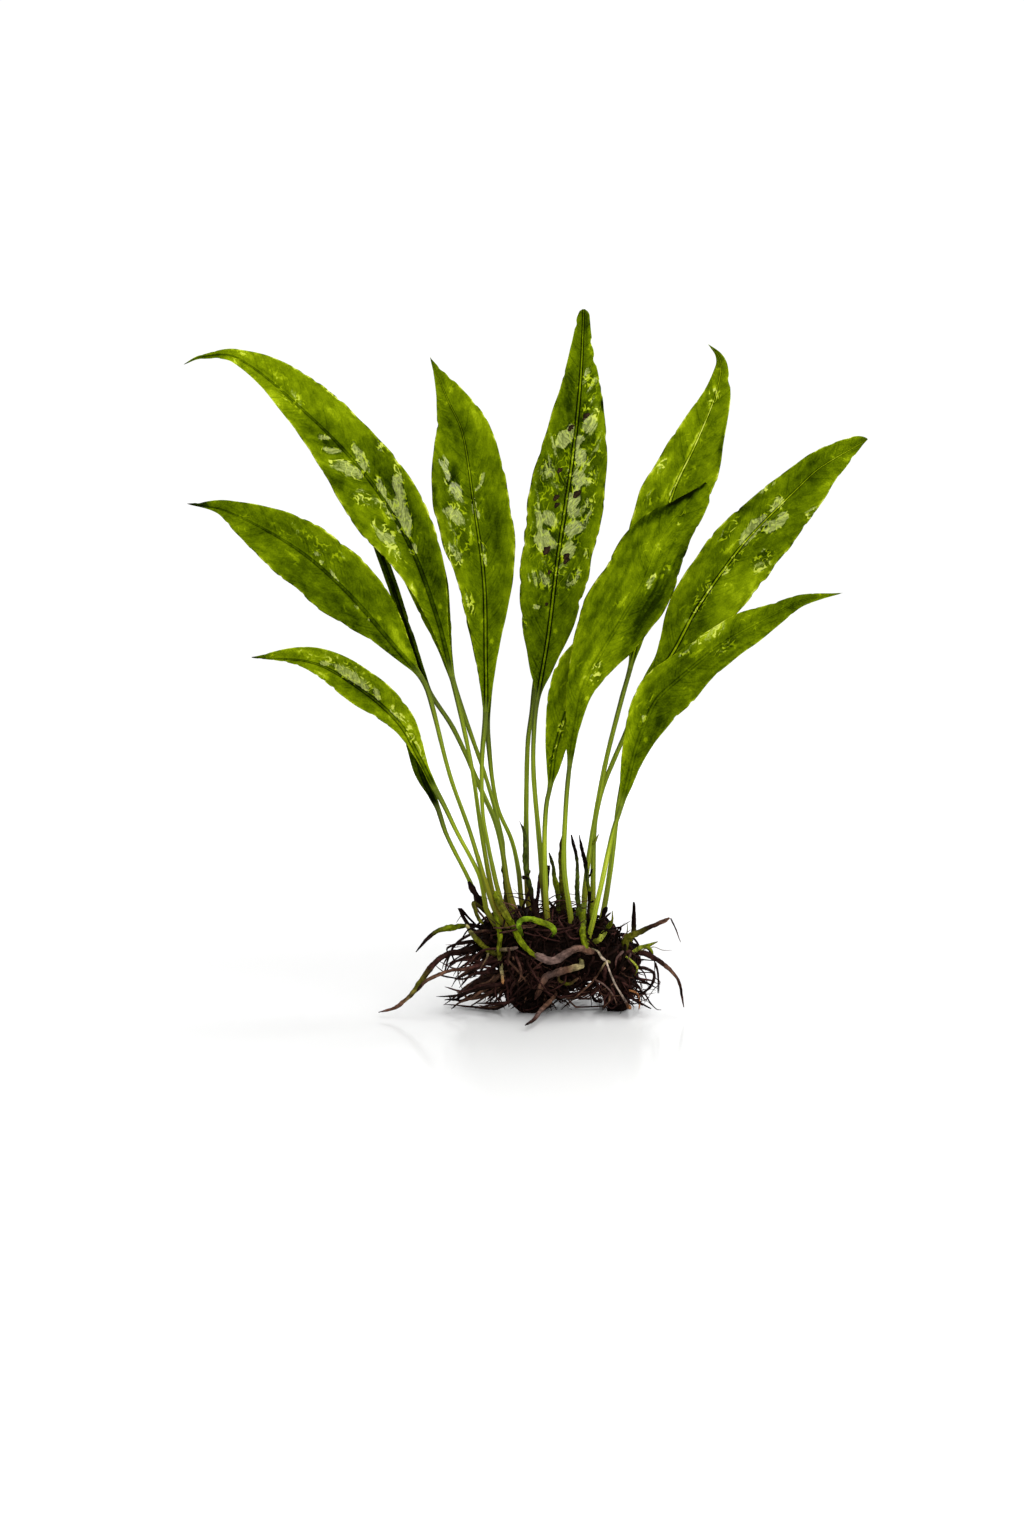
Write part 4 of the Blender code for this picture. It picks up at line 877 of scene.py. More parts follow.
def smooth_between(values, share):
    """Read a value a share of the way along an evenly spaced list, on a smooth curve."""
    place = min(max(share, 0.0), 1.0) * (len(values) - 1)
    index = min(int(place), len(values) - 2)
    t = place - index
    a = values[max(index - 1, 0)]
    b = values[index]
    c = values[index + 1]
    d = values[min(index + 2, len(values) - 1)]
    return b + 0.5 * t * (c - a + t * (2 * a - 5 * b + 4 * c - d + t * (3 * (b - c) + d - a)))


def blend_colours(colours, share):
    """Read a colour a share of the way along a list of colours."""
    return tuple(between([colour[channel] for colour in colours], share) for channel in range(3))


def add_piece(name, vertices, faces, material, solids):
    """Make one visible piece that takes the place of some solids."""
    mesh = bpy.data.meshes.new(name)
    mesh.from_pydata(vertices, [], faces)
    mesh.materials.append(material)
    mesh.shade_smooth()
    piece = bpy.data.objects.new(name, mesh)
    bpy.context.scene.collection.objects.link(piece)
    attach(piece, "root")
    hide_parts(*solids)
    return piece


def add_tinted(name, store, material, solid):
    """Make one visible piece from a store of vertices, faces and colours."""
    piece = add_piece(name, store[0], store[1], material, (solid,))
    set_colours(piece.data, store[2])
    return piece


def add_rings(faces, first, rings, sides):
    """Add the faces of a closed skin over rings of vertices, with a cap at both ends."""
    for ring in range(rings - 1):
        low = first + ring * sides
        for turn in range(sides):
            after = (turn + 1) % sides
            faces.append((low + turn, low + after, low + sides + after, low + sides + turn))
    faces.append(tuple(reversed(range(first, first + sides))))
    top = first + (rings - 1) * sides
    faces.append(tuple(range(top, top + sides)))


def set_values(mesh, name, values):
    """Store one number for each vertex."""
    layer = mesh.attributes.new(name, "FLOAT", "POINT")
    layer.data.foreach_set("value", values)


def set_colours(mesh, colours):
    """Store one colour for each vertex."""
    layer = mesh.color_attributes.new("tint", "FLOAT_COLOR", "POINT")
    flat = []
    for colour in colours:
        flat.extend((*colour, 1.0))
    layer.data.foreach_set("color", flat)


def set_map(mesh, places):
    """Store a flat place in millimetres for each vertex, as a UV map."""
    layer = mesh.uv_layers.new(name="flat")
    for loop in mesh.loops:
        layer.data[loop.index].uv = places[loop.vertex_index]


# Leaves


def mark_amount(marks, pixel, softness):
    """Add up what the marks say at a pixel."""
    shift = noise.noise_vector(Vector((pixel[0], pixel[1], 0)) / MARK_WANDER_SIZE) * MARK_WANDER
    pixel = (pixel[0] + shift.x, pixel[1] + shift.y)
    total = 0.0
    for mark in marks:
        dx = pixel[0] - mark.x
        dy = pixel[1] - mark.y
        turn = math.radians(mark.turn)
        along = (dx * math.cos(turn) + dy * math.sin(turn)) / mark.long
        across = (dy * math.cos(turn) - dx * math.sin(turn)) / mark.wide
        total += mark.amount * (1 - smoothstep(1 - softness, 1 + softness, math.hypot(along, across)))
    return total


def vein_start(across, along):
    """Return the place along the midrib, in millimetres, where the side vein through a point starts."""
    out = abs(across) / MM
    return along / MM - VEIN_SLOPE * out - VEIN_BEND * out * out


def half_width(frond, number, share, side, along):
    """Return how far a blade reaches from its midrib: to the right for side 1, to the left for side -1."""
    left_tip, right_tip, closes_from = BLUNT_TIPS.get(frond.name, SHARP_TIP)
    widths, tip = (frond.right, right_tip) if side > 0 else (frond.left, left_tip)
    width = smooth_between((BLADE_HALF_WIDTH_AT_STALK, *widths, tip), share) * MM
    seed = OUTLINE_WOBBLE_SEED
    wobble = noise_at(along / OUTLINE_WOBBLE_SIZE, side * seed[0], number * seed[1])
    width *= 1 + OUTLINE_WOBBLE * wobble * smoothstep(*OUTLINE_WOBBLE_FROM, share)
    notch = noise_at(along / NOTCH_SIZE, side * NOTCH_SEED[0], number * NOTCH_SEED[1])
    width -= NOTCH_DEPTH * max(notch - NOTCH_LEVEL, 0) * smoothstep(*NOTCH_FROM, share)
    closing = min(max(share - closes_from, 0) / (1 - closes_from), TIP_CLOSING)
    return width * math.sqrt(1 - closing ** 2)


def blade_relief(number, share, side, reach, width, across, along):
    """Return how far ripples, waves and side veins push the blade forward."""
    swell = math.sin(math.pi * min(max(share, 0.0), 1.0)) ** SWELL_CURVE
    turns = along / MM / RIPPLE_LENGTHS[side] + number * RIPPLE_SEED[0] + side * RIPPLE_SEED[1]
    change = noise_at(along / RIPPLE_STRENGTH_SIZE, side, number)
    ripple = math.sin(2 * math.pi * turns) * (RIPPLE_STRENGTHS[0] + RIPPLE_STRENGTHS[1] * change)
    relief = RIPPLE_HEIGHT * min(width / FULL_RIPPLE_WIDTH, 1) * ripple * reach ** RIPPLE_CURVE * swell
    wave = noise_at(across / WAVE_SIZE, along / WAVE_SIZE, number * WAVE_SEED)
    relief += WAVE_HEIGHT * wave * swell * min(reach * WAVE_FROM_MIDRIB, 1)
    # side veins, pressed in between soft quilts
    drift = noise_at(across / VEIN_DRIFT_SIZES[0], along / VEIN_DRIFT_SIZES[1], number * VEIN_DRIFT_SEED)
    flow = vein_start(across, along) * MM / VEIN_SPACING + drift * VEIN_DRIFT
    from_vein = (0.5 - abs(flow % 1.0 - 0.5)) * VEIN_SPACING
    vein = math.exp(-(from_vein / VEIN_HALF_WIDTH) ** 2) * swell
    vein *= smoothstep(*VEIN_FROM, reach) * (1 - smoothstep(*VEIN_UNTIL, reach))
    return relief - VEIN_DEPTH * vein


def half_thicknesses(frond, share, reach, across):
    """Return the thickness in front of the middle of the blade and behind it."""
    base = BLADE_THICKNESS + (MARGIN_THICKNESS - BLADE_THICKNESS) * reach ** THINNING
    size = MIDRIB_HALF_WIDTH * (MIDRIB_WIDTHS[0] - MIDRIB_WIDTHS[1] * share)
    bell = math.exp(-(across / size) ** 2)
    groove = math.exp(-((abs(across) - GROOVE_PLACE * size) / (GROOVE_WIDTH * size)) ** 2) * GROOVE_DEPTH
    rise = max(1 - share, 0) ** MIDRIB_FADE
    front = base / 2 + MIDRIB_RISE_FRONT * bell * rise - groove * rise
    back = base / 2 + MIDRIB_RISE_BACK * bell * rise
    return (back, front) if frond.name == UNDERSIDE_SEEN else (front, back)


def lean_at(frond, share):
    """Return the slope across a blade."""
    return frond.lean[0] + (frond.lean[1] - frond.lean[0]) * share


def blade_point(frond, number, share, column, along):
    """Return offset to the right, offset forward and half thicknesses front and back, for the blade."""
    side = 1 if column > 0 else -1
    reach = abs(column)
    width = half_width(frond, number, share, side, along)
    across = column * width
    forward = width * (lean_at(frond, share) * column + frond.fold * reach ** FOLD_CURVE)
    forward += blade_relief(number, share, side, reach, width, across, along)
    return across, forward, *half_thicknesses(frond, share, reach, across)


def tone_along(frond, share, climb):
    """Return how light a leaf or its stalk is, before the marks."""
    if share >= 0:
        return frond.tone
    tone = STALK_TONE - STALK_TOP_DARKER * smoothstep(*STALK_TOP, climb)
    tone -= STALK_BOTTOM_DARKER * (1 - smoothstep(*STALK_BOTTOM, climb))
    return tone + (frond.tone - MEAN_TONE) * LEAF_TONE_ON_STALK


def add_frond(frond, number, material):
    """Make one leaf on its stalk as a fine closed mesh."""
    line = with_foot([seen(place) for place in frond.stalk[:-1] + frond.blade])
    stalk_length = route_length([seen(place) for place in frond.stalk]) + FOOT_LENGTH
    blade_length = route_length([seen(place) for place in frond.blade])
    whole = stalk_length + blade_length
    count = int(whole / ROW_STEP)
    fine = smooth_route(line, count)
    ways = directions(fine)
    first_fine = int(count * stalk_length / whole * FINE_ROWS_FROM)
    chosen = list(range(0, first_fine, STALK_ROWS_SKIPPED)) + list(range(first_fine, count))
    per_side = COLUMNS_PER_SIDE
    ring_size = 4 * per_side
    # wet marks give a glossy coat and a painted sheen; shade marks give the leaf's own tone, painted shade
    # and painted highlights
    wet = [Mark(*row) for row in WET_AND_SHEEN.get(frond.name, ())]
    shades = [Mark(*row) for row in SHADES.get(frond.name, ())]
    vertices, faces, places = [], [], []
    names = ("tone", "wet", "share", "reach", "foot", "rib", "width", "lines", "streaks")
    values = {name: [] for name in names}
    for row in chosen:
        reach_along = whole * row / (count - 1)
        along = reach_along - stalk_length
        share = along / blade_length
        climb = reach_along / stalk_length
        side = ways[row].cross(TOWARDS_VIEWER).normalized()
        front = side.cross(ways[row]).normalized()
        flat = smoothstep(*SECTION_CHANGE, share)
        radius = smooth_between(SLIM_STALK_RADII if frond.name in SLIM_STALKS else STALK_RADII, climb) * MM
        radius *= 1 + STALK_WOBBLE * noise_at(reach_along / STALK_WOBBLE_SIZE, number * STALK_WOBBLE_SEED, 0)
        normal = (front - side * (lean_at(frond, min(max(share, 0), 1)) * flat)).normalized()
        ring_front, ring_back = [], []
        for step in range(-per_side, per_side + 1):
            t = step / per_side
            column = math.copysign(abs(t) ** COLUMN_CROWDING, t)
            across, forward, thick_front, thick_back = blade_point(
                frond, number, max(share, 0), column, along)
            round_across = radius * math.sin(t * math.pi / 2)
            round_thick = radius * math.cos(t * math.pi / 2) * STALK_FLATNESS
            across = round_across + (across - round_across) * flat
            forward *= flat
            thick_front = round_thick + (thick_front - round_thick) * flat
            thick_back = round_thick + (thick_back - round_thick) * flat
            middle = fine[row] + side * across + front * forward
            ring_front.append((middle + normal * thick_front, across, column))
            ring_back.append((middle - normal * thick_back, across, column))
        same = {"share": share, "foot": 1 - smoothstep(*STALK_BROWN_BELOW, climb), "rib": frond.midrib,
                "width": between(WIDE_RIBS.get(frond.name, RIB_WIDTHS), share),
                "lines": LINE_DARKNESS * frond.lines, "streaks": frond.streaks}
        tone = tone_along(frond, share, climb)
        for place, (point, across, column) in enumerate(ring_front + ring_back[-2:0:-1]):
            pixel = photo_pixel(point)
            vertices.append(point)
            places.append((across / MM, vein_start(across, along)))
            values["tone"].append(tone + mark_amount(shades, pixel, SHADE_SOFTNESS))
            values["wet"].append(mark_amount(wet, pixel, WET_AND_SHEEN_SOFTNESS) if place < len(ring_front) else 0.0)
            values["reach"].append(abs(column))
            for name, value in same.items():
                values[name].append(value)
    add_rings(faces, 0, len(chosen), ring_size)
    solids = (frond.name + "_blade", frond.name + "_stalk")
    piece = add_piece(frond.name + "_leaf", vertices, faces, material, solids)
    set_map(piece.data, places)
    for name, numbers in values.items():
        set_values(piece.data, name, numbers)
    return piece


def add_sori(leaf, material):
    """Make the brown heaps of spores that stand on the underside of one leaf."""
    surface = BVHTree.FromObject(leaf, bpy.context.evaluated_depsgraph_get())
    start = camera_place()
    store = ([], [], [])
    for x, y, radius in SORI:
        across = (x - PHOTO_MIDDLE_X) * PHOTO_SCALE
        aim = seen((across, (PHOTO_FLOOR_Y - y) * PHOTO_SCALE, SORI_AIM_DEPTH))
        spot, normal, _, _ = surface.ray_cast(start, (aim - start).normalized())
        if spot is None:
            continue
        for right, up, size in SORUS_PARTS:
            part = Vector((right, 0, up)) * radius * PHOTO_SCALE * MM
            add_dome(store, spot + part, normal, radius * size * PHOTO_SCALE * MM)
    return add_tinted("sori", store, material, UNDERSIDE_SEEN + "_blade")


def add_dome(store, spot, normal, size):
    """Add one grainy low dome to a store of vertices, faces and colours."""
    vertices, faces, tints = store
    side = normal.orthogonal().normalized()
    other = normal.cross(side)
    first = len(vertices)
    for ring in range(DOME_RINGS + 1):
        rise = math.pi / 2 * ring / DOME_RINGS
        for turn in range(DOME_TURNS):
            angle = 2 * math.pi * turn / DOME_TURNS
            out = side * math.cos(angle) + other * math.sin(angle)
            point = out * math.cos(rise) + normal * (math.sin(rise) * DOME_HEIGHT - DOME_SINK)
            grain = 1.0
            for grain_size in DOME_GRAIN_SIZES:
                grain += DOME_GRAIN * noise.noise((spot + point * size) / grain_size)
            vertices.append(spot + point * size * grain)
            # black at the foot of the dome, brown towards its top: a painted shade where the dome meets the
            # leaf
            tints.append(blend_colours((BLACK, SORUS_COLOUR), ring / DOME_RINGS + grain - 1))
    add_rings(faces, first, DOME_RINGS + 1, DOME_TURNS)


# Roots


def add_tube(store, route, radii, colours, sides, lumps=0.0):
    """Add one grooved tube with narrow ends to a store of vertices, faces and colours."""
    vertices, faces, tints = store
    ways = directions(route)
    side = ways[0].orthogonal().normalized()
    first = len(vertices)
    along = 0.0
    for index, centre in enumerate(route):
        if index:
            along += (centre - route[index - 1]).length
        way = ways[index]
        side = (side - way * side.dot(way)).normalized()
        other = way.cross(side)
        share = index / (len(route) - 1)
        radius = between(radii, share)
        radius *= 1 - TUBE_END_NARROWER * smoothstep(*TUBE_END, share)
        colour = blend_colours(colours, share)
        for turn in range(sides):
            angle = 2 * math.pi * turn / sides
            out = side * math.cos(angle) + other * math.sin(angle)
            push = 1.0
            shade = 1.0
            if lumps:
                round_side = math.cos(angle) * GROOVES_ROUND
                round_other = math.sin(angle) * GROOVES_ROUND
                groove = noise_at(round_side, round_other, along / GROOVE_LENGTH)
                knot = noise.noise((centre + out * radius) / KNOT_SIZE)
                push += lumps * (groove + knot)
                # painted shade in the grooves and painted light on the knots, from the same noise as the
                # relief
                shade += groove * GROOVE_SHADE + knot * KNOT_SHADE
            vertices.append(centre + out * radius * push)
            tints.append([channel * shade for channel in colour])
    add_rings(faces, first, len(route), sides)


def height_over(surface, middle, point):
    """Return the distance from a surface to a point, negative inside."""
    distance = surface.find_nearest(point)[3]
    way = (point - middle).normalized()
    wall, normal, _, _ = surface.ray_cast(point, way)
    if wall is not None and normal.dot(way) > 0:
        return -distance
    return distance


def laid(surface, route, radius):
    """Push the points of a route out from the middle of the root ball, so that the strand lies on it."""
    result = []
    for point in route:
        outwards = (point - CORE_MIDDLE).normalized()
        for _ in range(LIFTS):
            if height_over(surface, CORE_MIDDLE, point) > radius:
                break
            point = point + outwards * LIFT * MM
        result.append(point)
    return result


def leaned(surface, points, gap):
    """Slide points that float in front of the dark mass back along the line of sight, to lie on it."""
    eye = camera_place()
    result = []
    for point in points:
        way = (point - eye).normalized()
        wall, _, _, _ = surface.ray_cast(eye, way)
        if wall is not None and (wall - eye).length - gap > (point - eye).length:
            point = wall - way * gap
        result.append(point)
    return result


def anchor(surface, point):
    """Return a place just under the skin of the dark mass, as near as can be to a point."""
    near, normal, _, _ = surface.find_nearest(point)
    return near - normal * ANCHOR_DEPTH


def with_foot(points):
    """Lengthen a line backwards, so that it starts inside the root ball."""
    straight = (points[0] - points[1]).normalized()
    inwards = (CORE_MIDDLE - points[0]).normalized()
    return [points[0] + (straight + inwards).normalized() * FOOT_LENGTH] + points


def add_strand(strand, surface, material):
    """Make one root, rhizome or stub with its lumps, and the threads that grow on it."""
    store = ([], [], [])
    is_stub = strand.name.startswith("stub")
    radii = [radius * MM for radius in strand.radii]
    points = [seen(place) for place in strand.route]
    if is_stub:
        points = with_foot(points)
    elif strand.name not in ARCHES:
        points = leaned(surface, points, max(radii) + STRAND_GAP)
    steps = max(int(route_length(points) / STRAND_STEP), STRAND_FEWEST_STEPS)
    route = smooth_route(points, steps)
    if not is_stub:
        route = smooth_route(laid(surface, route, max(radii) * STRAND_SINK), steps)
        if strand.name not in STARTS_ON_STALK:
            route.insert(0, anchor(surface, route[0]))
        if strand.name not in HANGS_FREE and height_over(surface, CORE_MIDDLE, route[-1]) < NEAR_BALL:
            route.append(anchor(surface, route[-1]))
        route = smooth_route(route, steps)
    add_tube(store, route, radii, strand.colours, STRAND_SIDES, STUB_LUMPS if is_stub else STRAND_LUMPS)
    add_threads(store, surface, strand.name)
    add_tinted(strand.name + "_fine", store, material, strand.name)


def add_threads(store, surface, name):
    """Add the thin roots that were seen on one thing."""
    for places, radii, colours in THREADS.get(name, ()):
        points = leaned(surface, [seen(place) for place in places], max(radii) * MM + STRAND_GAP)
        if name == "root_ball" and height_over(surface, CORE_MIDDLE, points[0]) < NEAR_BALL:
            points.insert(0, anchor(surface, points[0]))
        steps = max(int(route_length(points) / THREAD_STEP), THREAD_FEWEST_STEPS)
        route = smooth_route(points, steps)
        add_tube(store, route, [radius * MM for radius in radii], colours, THREAD_SIDES, THREAD_LUMPS)


def core_store():
    """Return the lumpy dark mass inside the root ball."""
    builder = bmesh.new()
    for centre, radii in CORE_LUMPS:
        place = Matrix.Translation(Vector(centre) * MM) @ Matrix.Diagonal((*[r * MM for r in radii], 1))
        bmesh.ops.create_icosphere(builder, subdivisions=CORE_FINENESS, radius=1, matrix=place)
    builder.normal_update()
    for vertex in builder.verts:
        push = 0.0
        for height, size in CORE_ROUGHNESS:
            push += height * MM * noise.noise(vertex.co / (size * MM))
        vertex.co += vertex.normal * push
        vertex.co.z = max(vertex.co.z, LOWEST)
    vertices = [vertex.co.copy() for vertex in builder.verts]
    faces = [tuple(vertex.index for vertex in face.verts) for face in builder.faces]
    builder.free()
    tints = []
    for point in vertices:
        share = 0.5 + 0.5 * noise.noise(point / CORE_MOTTLE)
        tints.append(blend_colours(CORE_COLOURS, share))
    return vertices, faces, tints


def start_on(surface, angle, height):
    """Return a point of the surface and the way out, in a direction from the middle."""
    out = Vector((math.cos(angle), math.sin(angle), height)).normalized()
    far = CORE_MIDDLE + out * OUTSIDE_BALL * MM
    wall, normal, _, _ = surface.ray_cast(far, -out)
    return wall, normal


def random_way(dice):
    """Return a random direction."""
    return Vector((dice.gauss(0, 1), dice.gauss(0, 1), dice.gauss(0, 1))).normalized()


def add_mat(store, surface, dice):
    """Add the roots that crawl over the dark mass."""
    for _ in range(MAT_ROOTS):
        wall, normal = start_on(surface, dice.uniform(0, 2 * math.pi), dice.uniform(*MAT_STARTS))
        if wall is None:
            continue
        way = random_way(dice)
        point = wall
        height = dice.uniform(*MAT_LAYER) * MM
        step = dice.uniform(*MAT_STEPS) * MM
        route = []
        for _ in range(dice.randint(*MAT_KNOTS)):
            near, normal, _, _ = surface.find_nearest(point)
            height += dice.uniform(-MAT_CLIMB, MAT_CLIMB) * MM
            place = near + normal * height
            place.z = max(place.z, MAT_LOWEST)
            route.append(place)
            way = way + random_way(dice) * MAT_TURN + DOWN * MAT_SAG
            way = (way - normal * way.dot(normal)).normalized()
            point = near + way * step
        radius = dice.choice(MAT_RADII) * MM
        radii = [radius * part for part in MAT_TAPER]
        colours = (dice.choice(MAT_COLOURS), dice.choice(MAT_COLOURS))
        route = smooth_route(route, int(len(route) * MAT_FINENESS))
        add_tube(store, route, radii, colours, MAT_SIDES, MAT_LUMPS)


def spot_in(dice, box):
    """Return a random place in a box written as three ranges, as seen from the front."""
    return seen([dice.uniform(low, high) for low, high in box])


def add_sprays(store, surface, dice):
    """Add the loose roots from one box of places to another, and then the roots seen one by one."""
    for spray in SPRAYS:
        for _ in range(spray.count):
            start = spot_in(dice, spray.start)
            end = spot_in(dice, spray.end)
            length = (end - start).length
            knots = max(int(length / SPRAY_KNOT), SPRAY_FEWEST_KNOTS)
            swerve = random_way(dice) * length * spray.bend * dice.uniform(*SPRAY_SWERVE)
            points = []
            for knot in range(knots + 1):
                share = knot / knots
                point = start.lerp(end, share) + swerve * math.sin(math.pi * share)
                point += random_way(dice) * spray.bend * SPRAY_JITTER * MM * min(knot, 1)
                points.append(point)
            route = smooth_route(points, max(int(length / SPRAY_STEP), SPRAY_FEWEST_STEPS))
            for point in route:
                point.z = max(point.z, MAT_LOWEST)
            thick = dice.uniform(*spray.radii) * MM
            colours = [dice.choice(ROOT_COLOURS) for _ in range(3)]
            add_tube(store, route, [thick * part for part in SPRAY_TAPER], colours, SPRAY_SIDES, SPRAY_LUMPS)
            for _ in range(dice.randint(0, MOST_BRANCHES)):
                add_branch(store, route, thick, dice)
    add_threads(store, surface, "root_ball")


def add_branch(store, route, thick, dice):
    """Add one side root that leaves a loose root after its first quarter, and droops."""
    place = dice.randint(len(route) // 4, len(route) - 2)
    ahead = (route[place + 1] - route[place]).normalized()
    way = (ahead * BRANCH_AHEAD + random_way(dice)).normalized()
    curl = random_way(dice) * dice.uniform(*BRANCH_CURL)
    point = route[place]
    side_route = []
    for _ in range(dice.randint(*BRANCH_KNOTS)):
        side_route.append(point)
        way = (way + curl + DOWN * BRANCH_SAG).normalized()
        point = point + way * BRANCH_STEP * MM
        point.z = max(point.z, BRANCH_LOWEST)
    radius = thick * dice.uniform(*BRANCH_SIZES)
    colours = (dice.choice(ROOT_COLOURS), BLACK)
    side_route = smooth_route(side_route, len(side_route) * 2)
    add_tube(store, side_route, (radius, radius * BRANCH_TAPER), colours, BRANCH_SIDES, BRANCH_LUMPS)


def add_hairs(store, surface, dice):
    """Add short fine hairs all over the ball."""
    for _ in range(HAIRS):
        wall, normal = start_on(surface, dice.uniform(0, 2 * math.pi), dice.uniform(*HAIR_STARTS))
        if wall is None:
            continue
        way = (normal + random_way(dice) * HAIR_SPREAD).normalized()
        point = wall
        route = []
        for _ in range(dice.randint(*HAIR_KNOTS)):
            route.append(point)
            way = (way + random_way(dice) * HAIR_TURN + DOWN * HAIR_SAG).normalized()
            point = point + way * dice.uniform(*HAIR_STEPS) * MM
            point.z = max(point.z, LOWEST)
        radius = dice.uniform(*HAIR_RADII) * MM
        add_tube(store, route, (radius, radius * HAIR_TAPER), (dice.choice(ROOT_COLOURS),) * 2, HAIR_SIDES)


def add_root_ball(material):
    """Make the root ball: dark mass, mat of roots, fringe and hairs. Return the surface of the mass."""
    core = core_store()
    add_tinted("root_core", core, material, "root_ball")
    surface = BVHTree.FromPolygons(core[0], core[1])
    dice = random.Random(SEED)
    for name, adder in (("root_mat", add_mat), ("root_fringe", add_sprays), ("root_hairs", add_hairs)):
        store = ([], [], [])
        adder(store, surface, dice)
        add_tinted(name, store, material, "root_ball")
    return surface


# Materials


class Graph:
    """Short names for adding nodes to one node tree."""

    def __init__(self, tree):
        self.tree = tree
        self.shader = tree.nodes.get("Principled BSDF")

    def plug(self, value, socket):
        """Plug a socket into another, or set its number."""
        if isinstance(value, bpy.types.NodeSocket):
            self.tree.links.new(value, socket)
        else:
            socket.default_value = value

    def plug_all(self, node, inputs):
        """Plug the inputs of a node by name or place."""
        for name, value in inputs.items():
            self.plug(value, node.inputs[name])

    def add(self, kind, inputs=None, **settings):
        """Add a node."""
        made = self.tree.nodes.new("ShaderNode" + kind)
        for name, value in settings.items():
            setattr(made, name, value)
        self.plug_all(made, inputs or {})
        return made

    def maths(self, operation, first, second=0.0, clamp=False):
        """Work out a number from two others."""
        return self.add("Math", {0: first, 1: second}, operation=operation, use_clamp=clamp).outputs[0]

    def plus(self, *values):
        """Add values up."""
        total = values[0]
        for value in values[1:]:
            total = self.maths("ADD", total, value)
        return total

    def times(self, first, *others):
        """Multiply values."""
        for other in others:
            first = self.maths("MULTIPLY", first, other)
        return first

    def swing(self, value, amount):
        """Turn a value around one half into a change around nothing."""
        return self.times(self.maths("SUBTRACT", value, 0.5), amount)

    def span(self, value, low, high, to_low=0.0, to_high=1.0):
        """Ease a range of a value onto another range."""
        inputs = {"Value": value, "From Min": low, "From Max": high, "To Min": to_low, "To Max": to_high}
        return self.add("MapRange", inputs, interpolation_type="SMOOTHSTEP").outputs[0]

    def scaled(self, vector, *scale):
        """Scale a vector by three factors."""
        return self.add("VectorMath", {0: vector, 1: scale}, operation="MULTIPLY").outputs[0]

    def warped(self, vector, scale, amount):
        """Shift a vector about by soft noise, so that straight patterns wander."""
        field = self.add("TexNoise", {"Vector": vector, "Scale": scale})
        shift = self.scaled(field.outputs["Color"], amount, amount, 0)
        return self.add("VectorMath", {0: vector, 1: shift}, operation="ADD").outputs[0]

    def cloud(self, vector, scale=1.0, detail=3.0, rough=0.55):
        """Add soft noise around one half."""
        inputs = {"Vector": vector, "Scale": scale, "Detail": detail, "Roughness": rough}
        return self.add("TexNoise", inputs).outputs["Fac"]

    def cells(self, vector, feature, output):
        """Add a cell pattern."""
        return self.add("TexVoronoi", {"Vector": vector, "Scale": 1.0}, feature=feature).outputs[output]

    def part(self, vector, axis):
        """Return one part of a vector."""
        return self.add("SeparateXYZ", {0: vector}).outputs[axis]

    def stored(self, name, output="Fac"):
        """Read a number or colour stored on the mesh."""
        return self.add("Attribute", attribute_name=name).outputs[output]

    def grey(self, level):
        """Turn a number into a grey."""
        return self.add("CombineColor", {"Red": level, "Green": level, "Blue": level}).outputs["Color"]

    def ramp(self, value, stops):
        """Turn a value into a colour through a list of stops."""
        made = self.add("ValToRGB", {"Fac": value})
        elements = made.color_ramp.elements
        elements.remove(elements[-1])
        for index, (place, colour) in enumerate(stops):
            element = elements[0] if index == 0 else elements.new(place)
            element.position = place
            element.color = (*linear(colour), 1)
        return made.outputs["Color"]

    def mixed(self, kind, amount, first, second):
        """Mix two colours."""
        inputs = {"Factor": amount, "A": first, "B": second}
        return self.add("Mix", inputs, data_type="RGBA", blend_type=kind).outputs["Result"]

    def bump(self, height, strength, distance):
        """Turn a height into a tilt of the surface."""
        inputs = {"Height": height, "Strength": strength, "Distance": distance}
        return self.add("Bump", inputs).outputs["Normal"]


def new_material(name):
    """Make a material, and return it with the graph of its nodes."""
    material = bpy.data.materials.new(name)
    material.use_nodes = True
    return material, Graph(material.node_tree)


def linear(colour):
    """Turn a colour read from a picture, 0 to 255, into light values."""
    result = []
    for channel in colour:
        value = channel / 255
        result.append(value / 12.92 if value <= 0.04045 else ((value + 0.055) / 1.055) ** 2.4)
    return tuple(result)


LEAF_COLOURS = (
    (0.00, (9, 15, 1)),
    (0.22, (36, 51, 1)),
    (0.46, (80, 98, 2)),
    (0.66, (114, 132, 5)),
    (0.84, (152, 168, 18)),
    (1.00, (196, 204, 86)),
)
# pale colour of the painted sheen in the wet patches, a painted reflection of the lights
PAINTED_SHEEN_COLOUR = (0.385, 0.435, 0.11, 1)
FOOT_COLOUR = (0.15, 0.105, 0.012, 1)
PALE_STALK = (0.3, 0.3, 0.12, 1)
STALK_PALENESS = 0.14
GLOW = (1.55, 1.5, 0.5, 1)
GLOW_SHARE = 0.38
FILM_COAT = 0.35
LEAF_RELIEF = (0.4, 0.18 * MM)
ROOT_RELIEF = (0.7, 0.25 * MM)
MOTTLE_SCALE = 420.0
GRAIN_SCALE = 2200.0


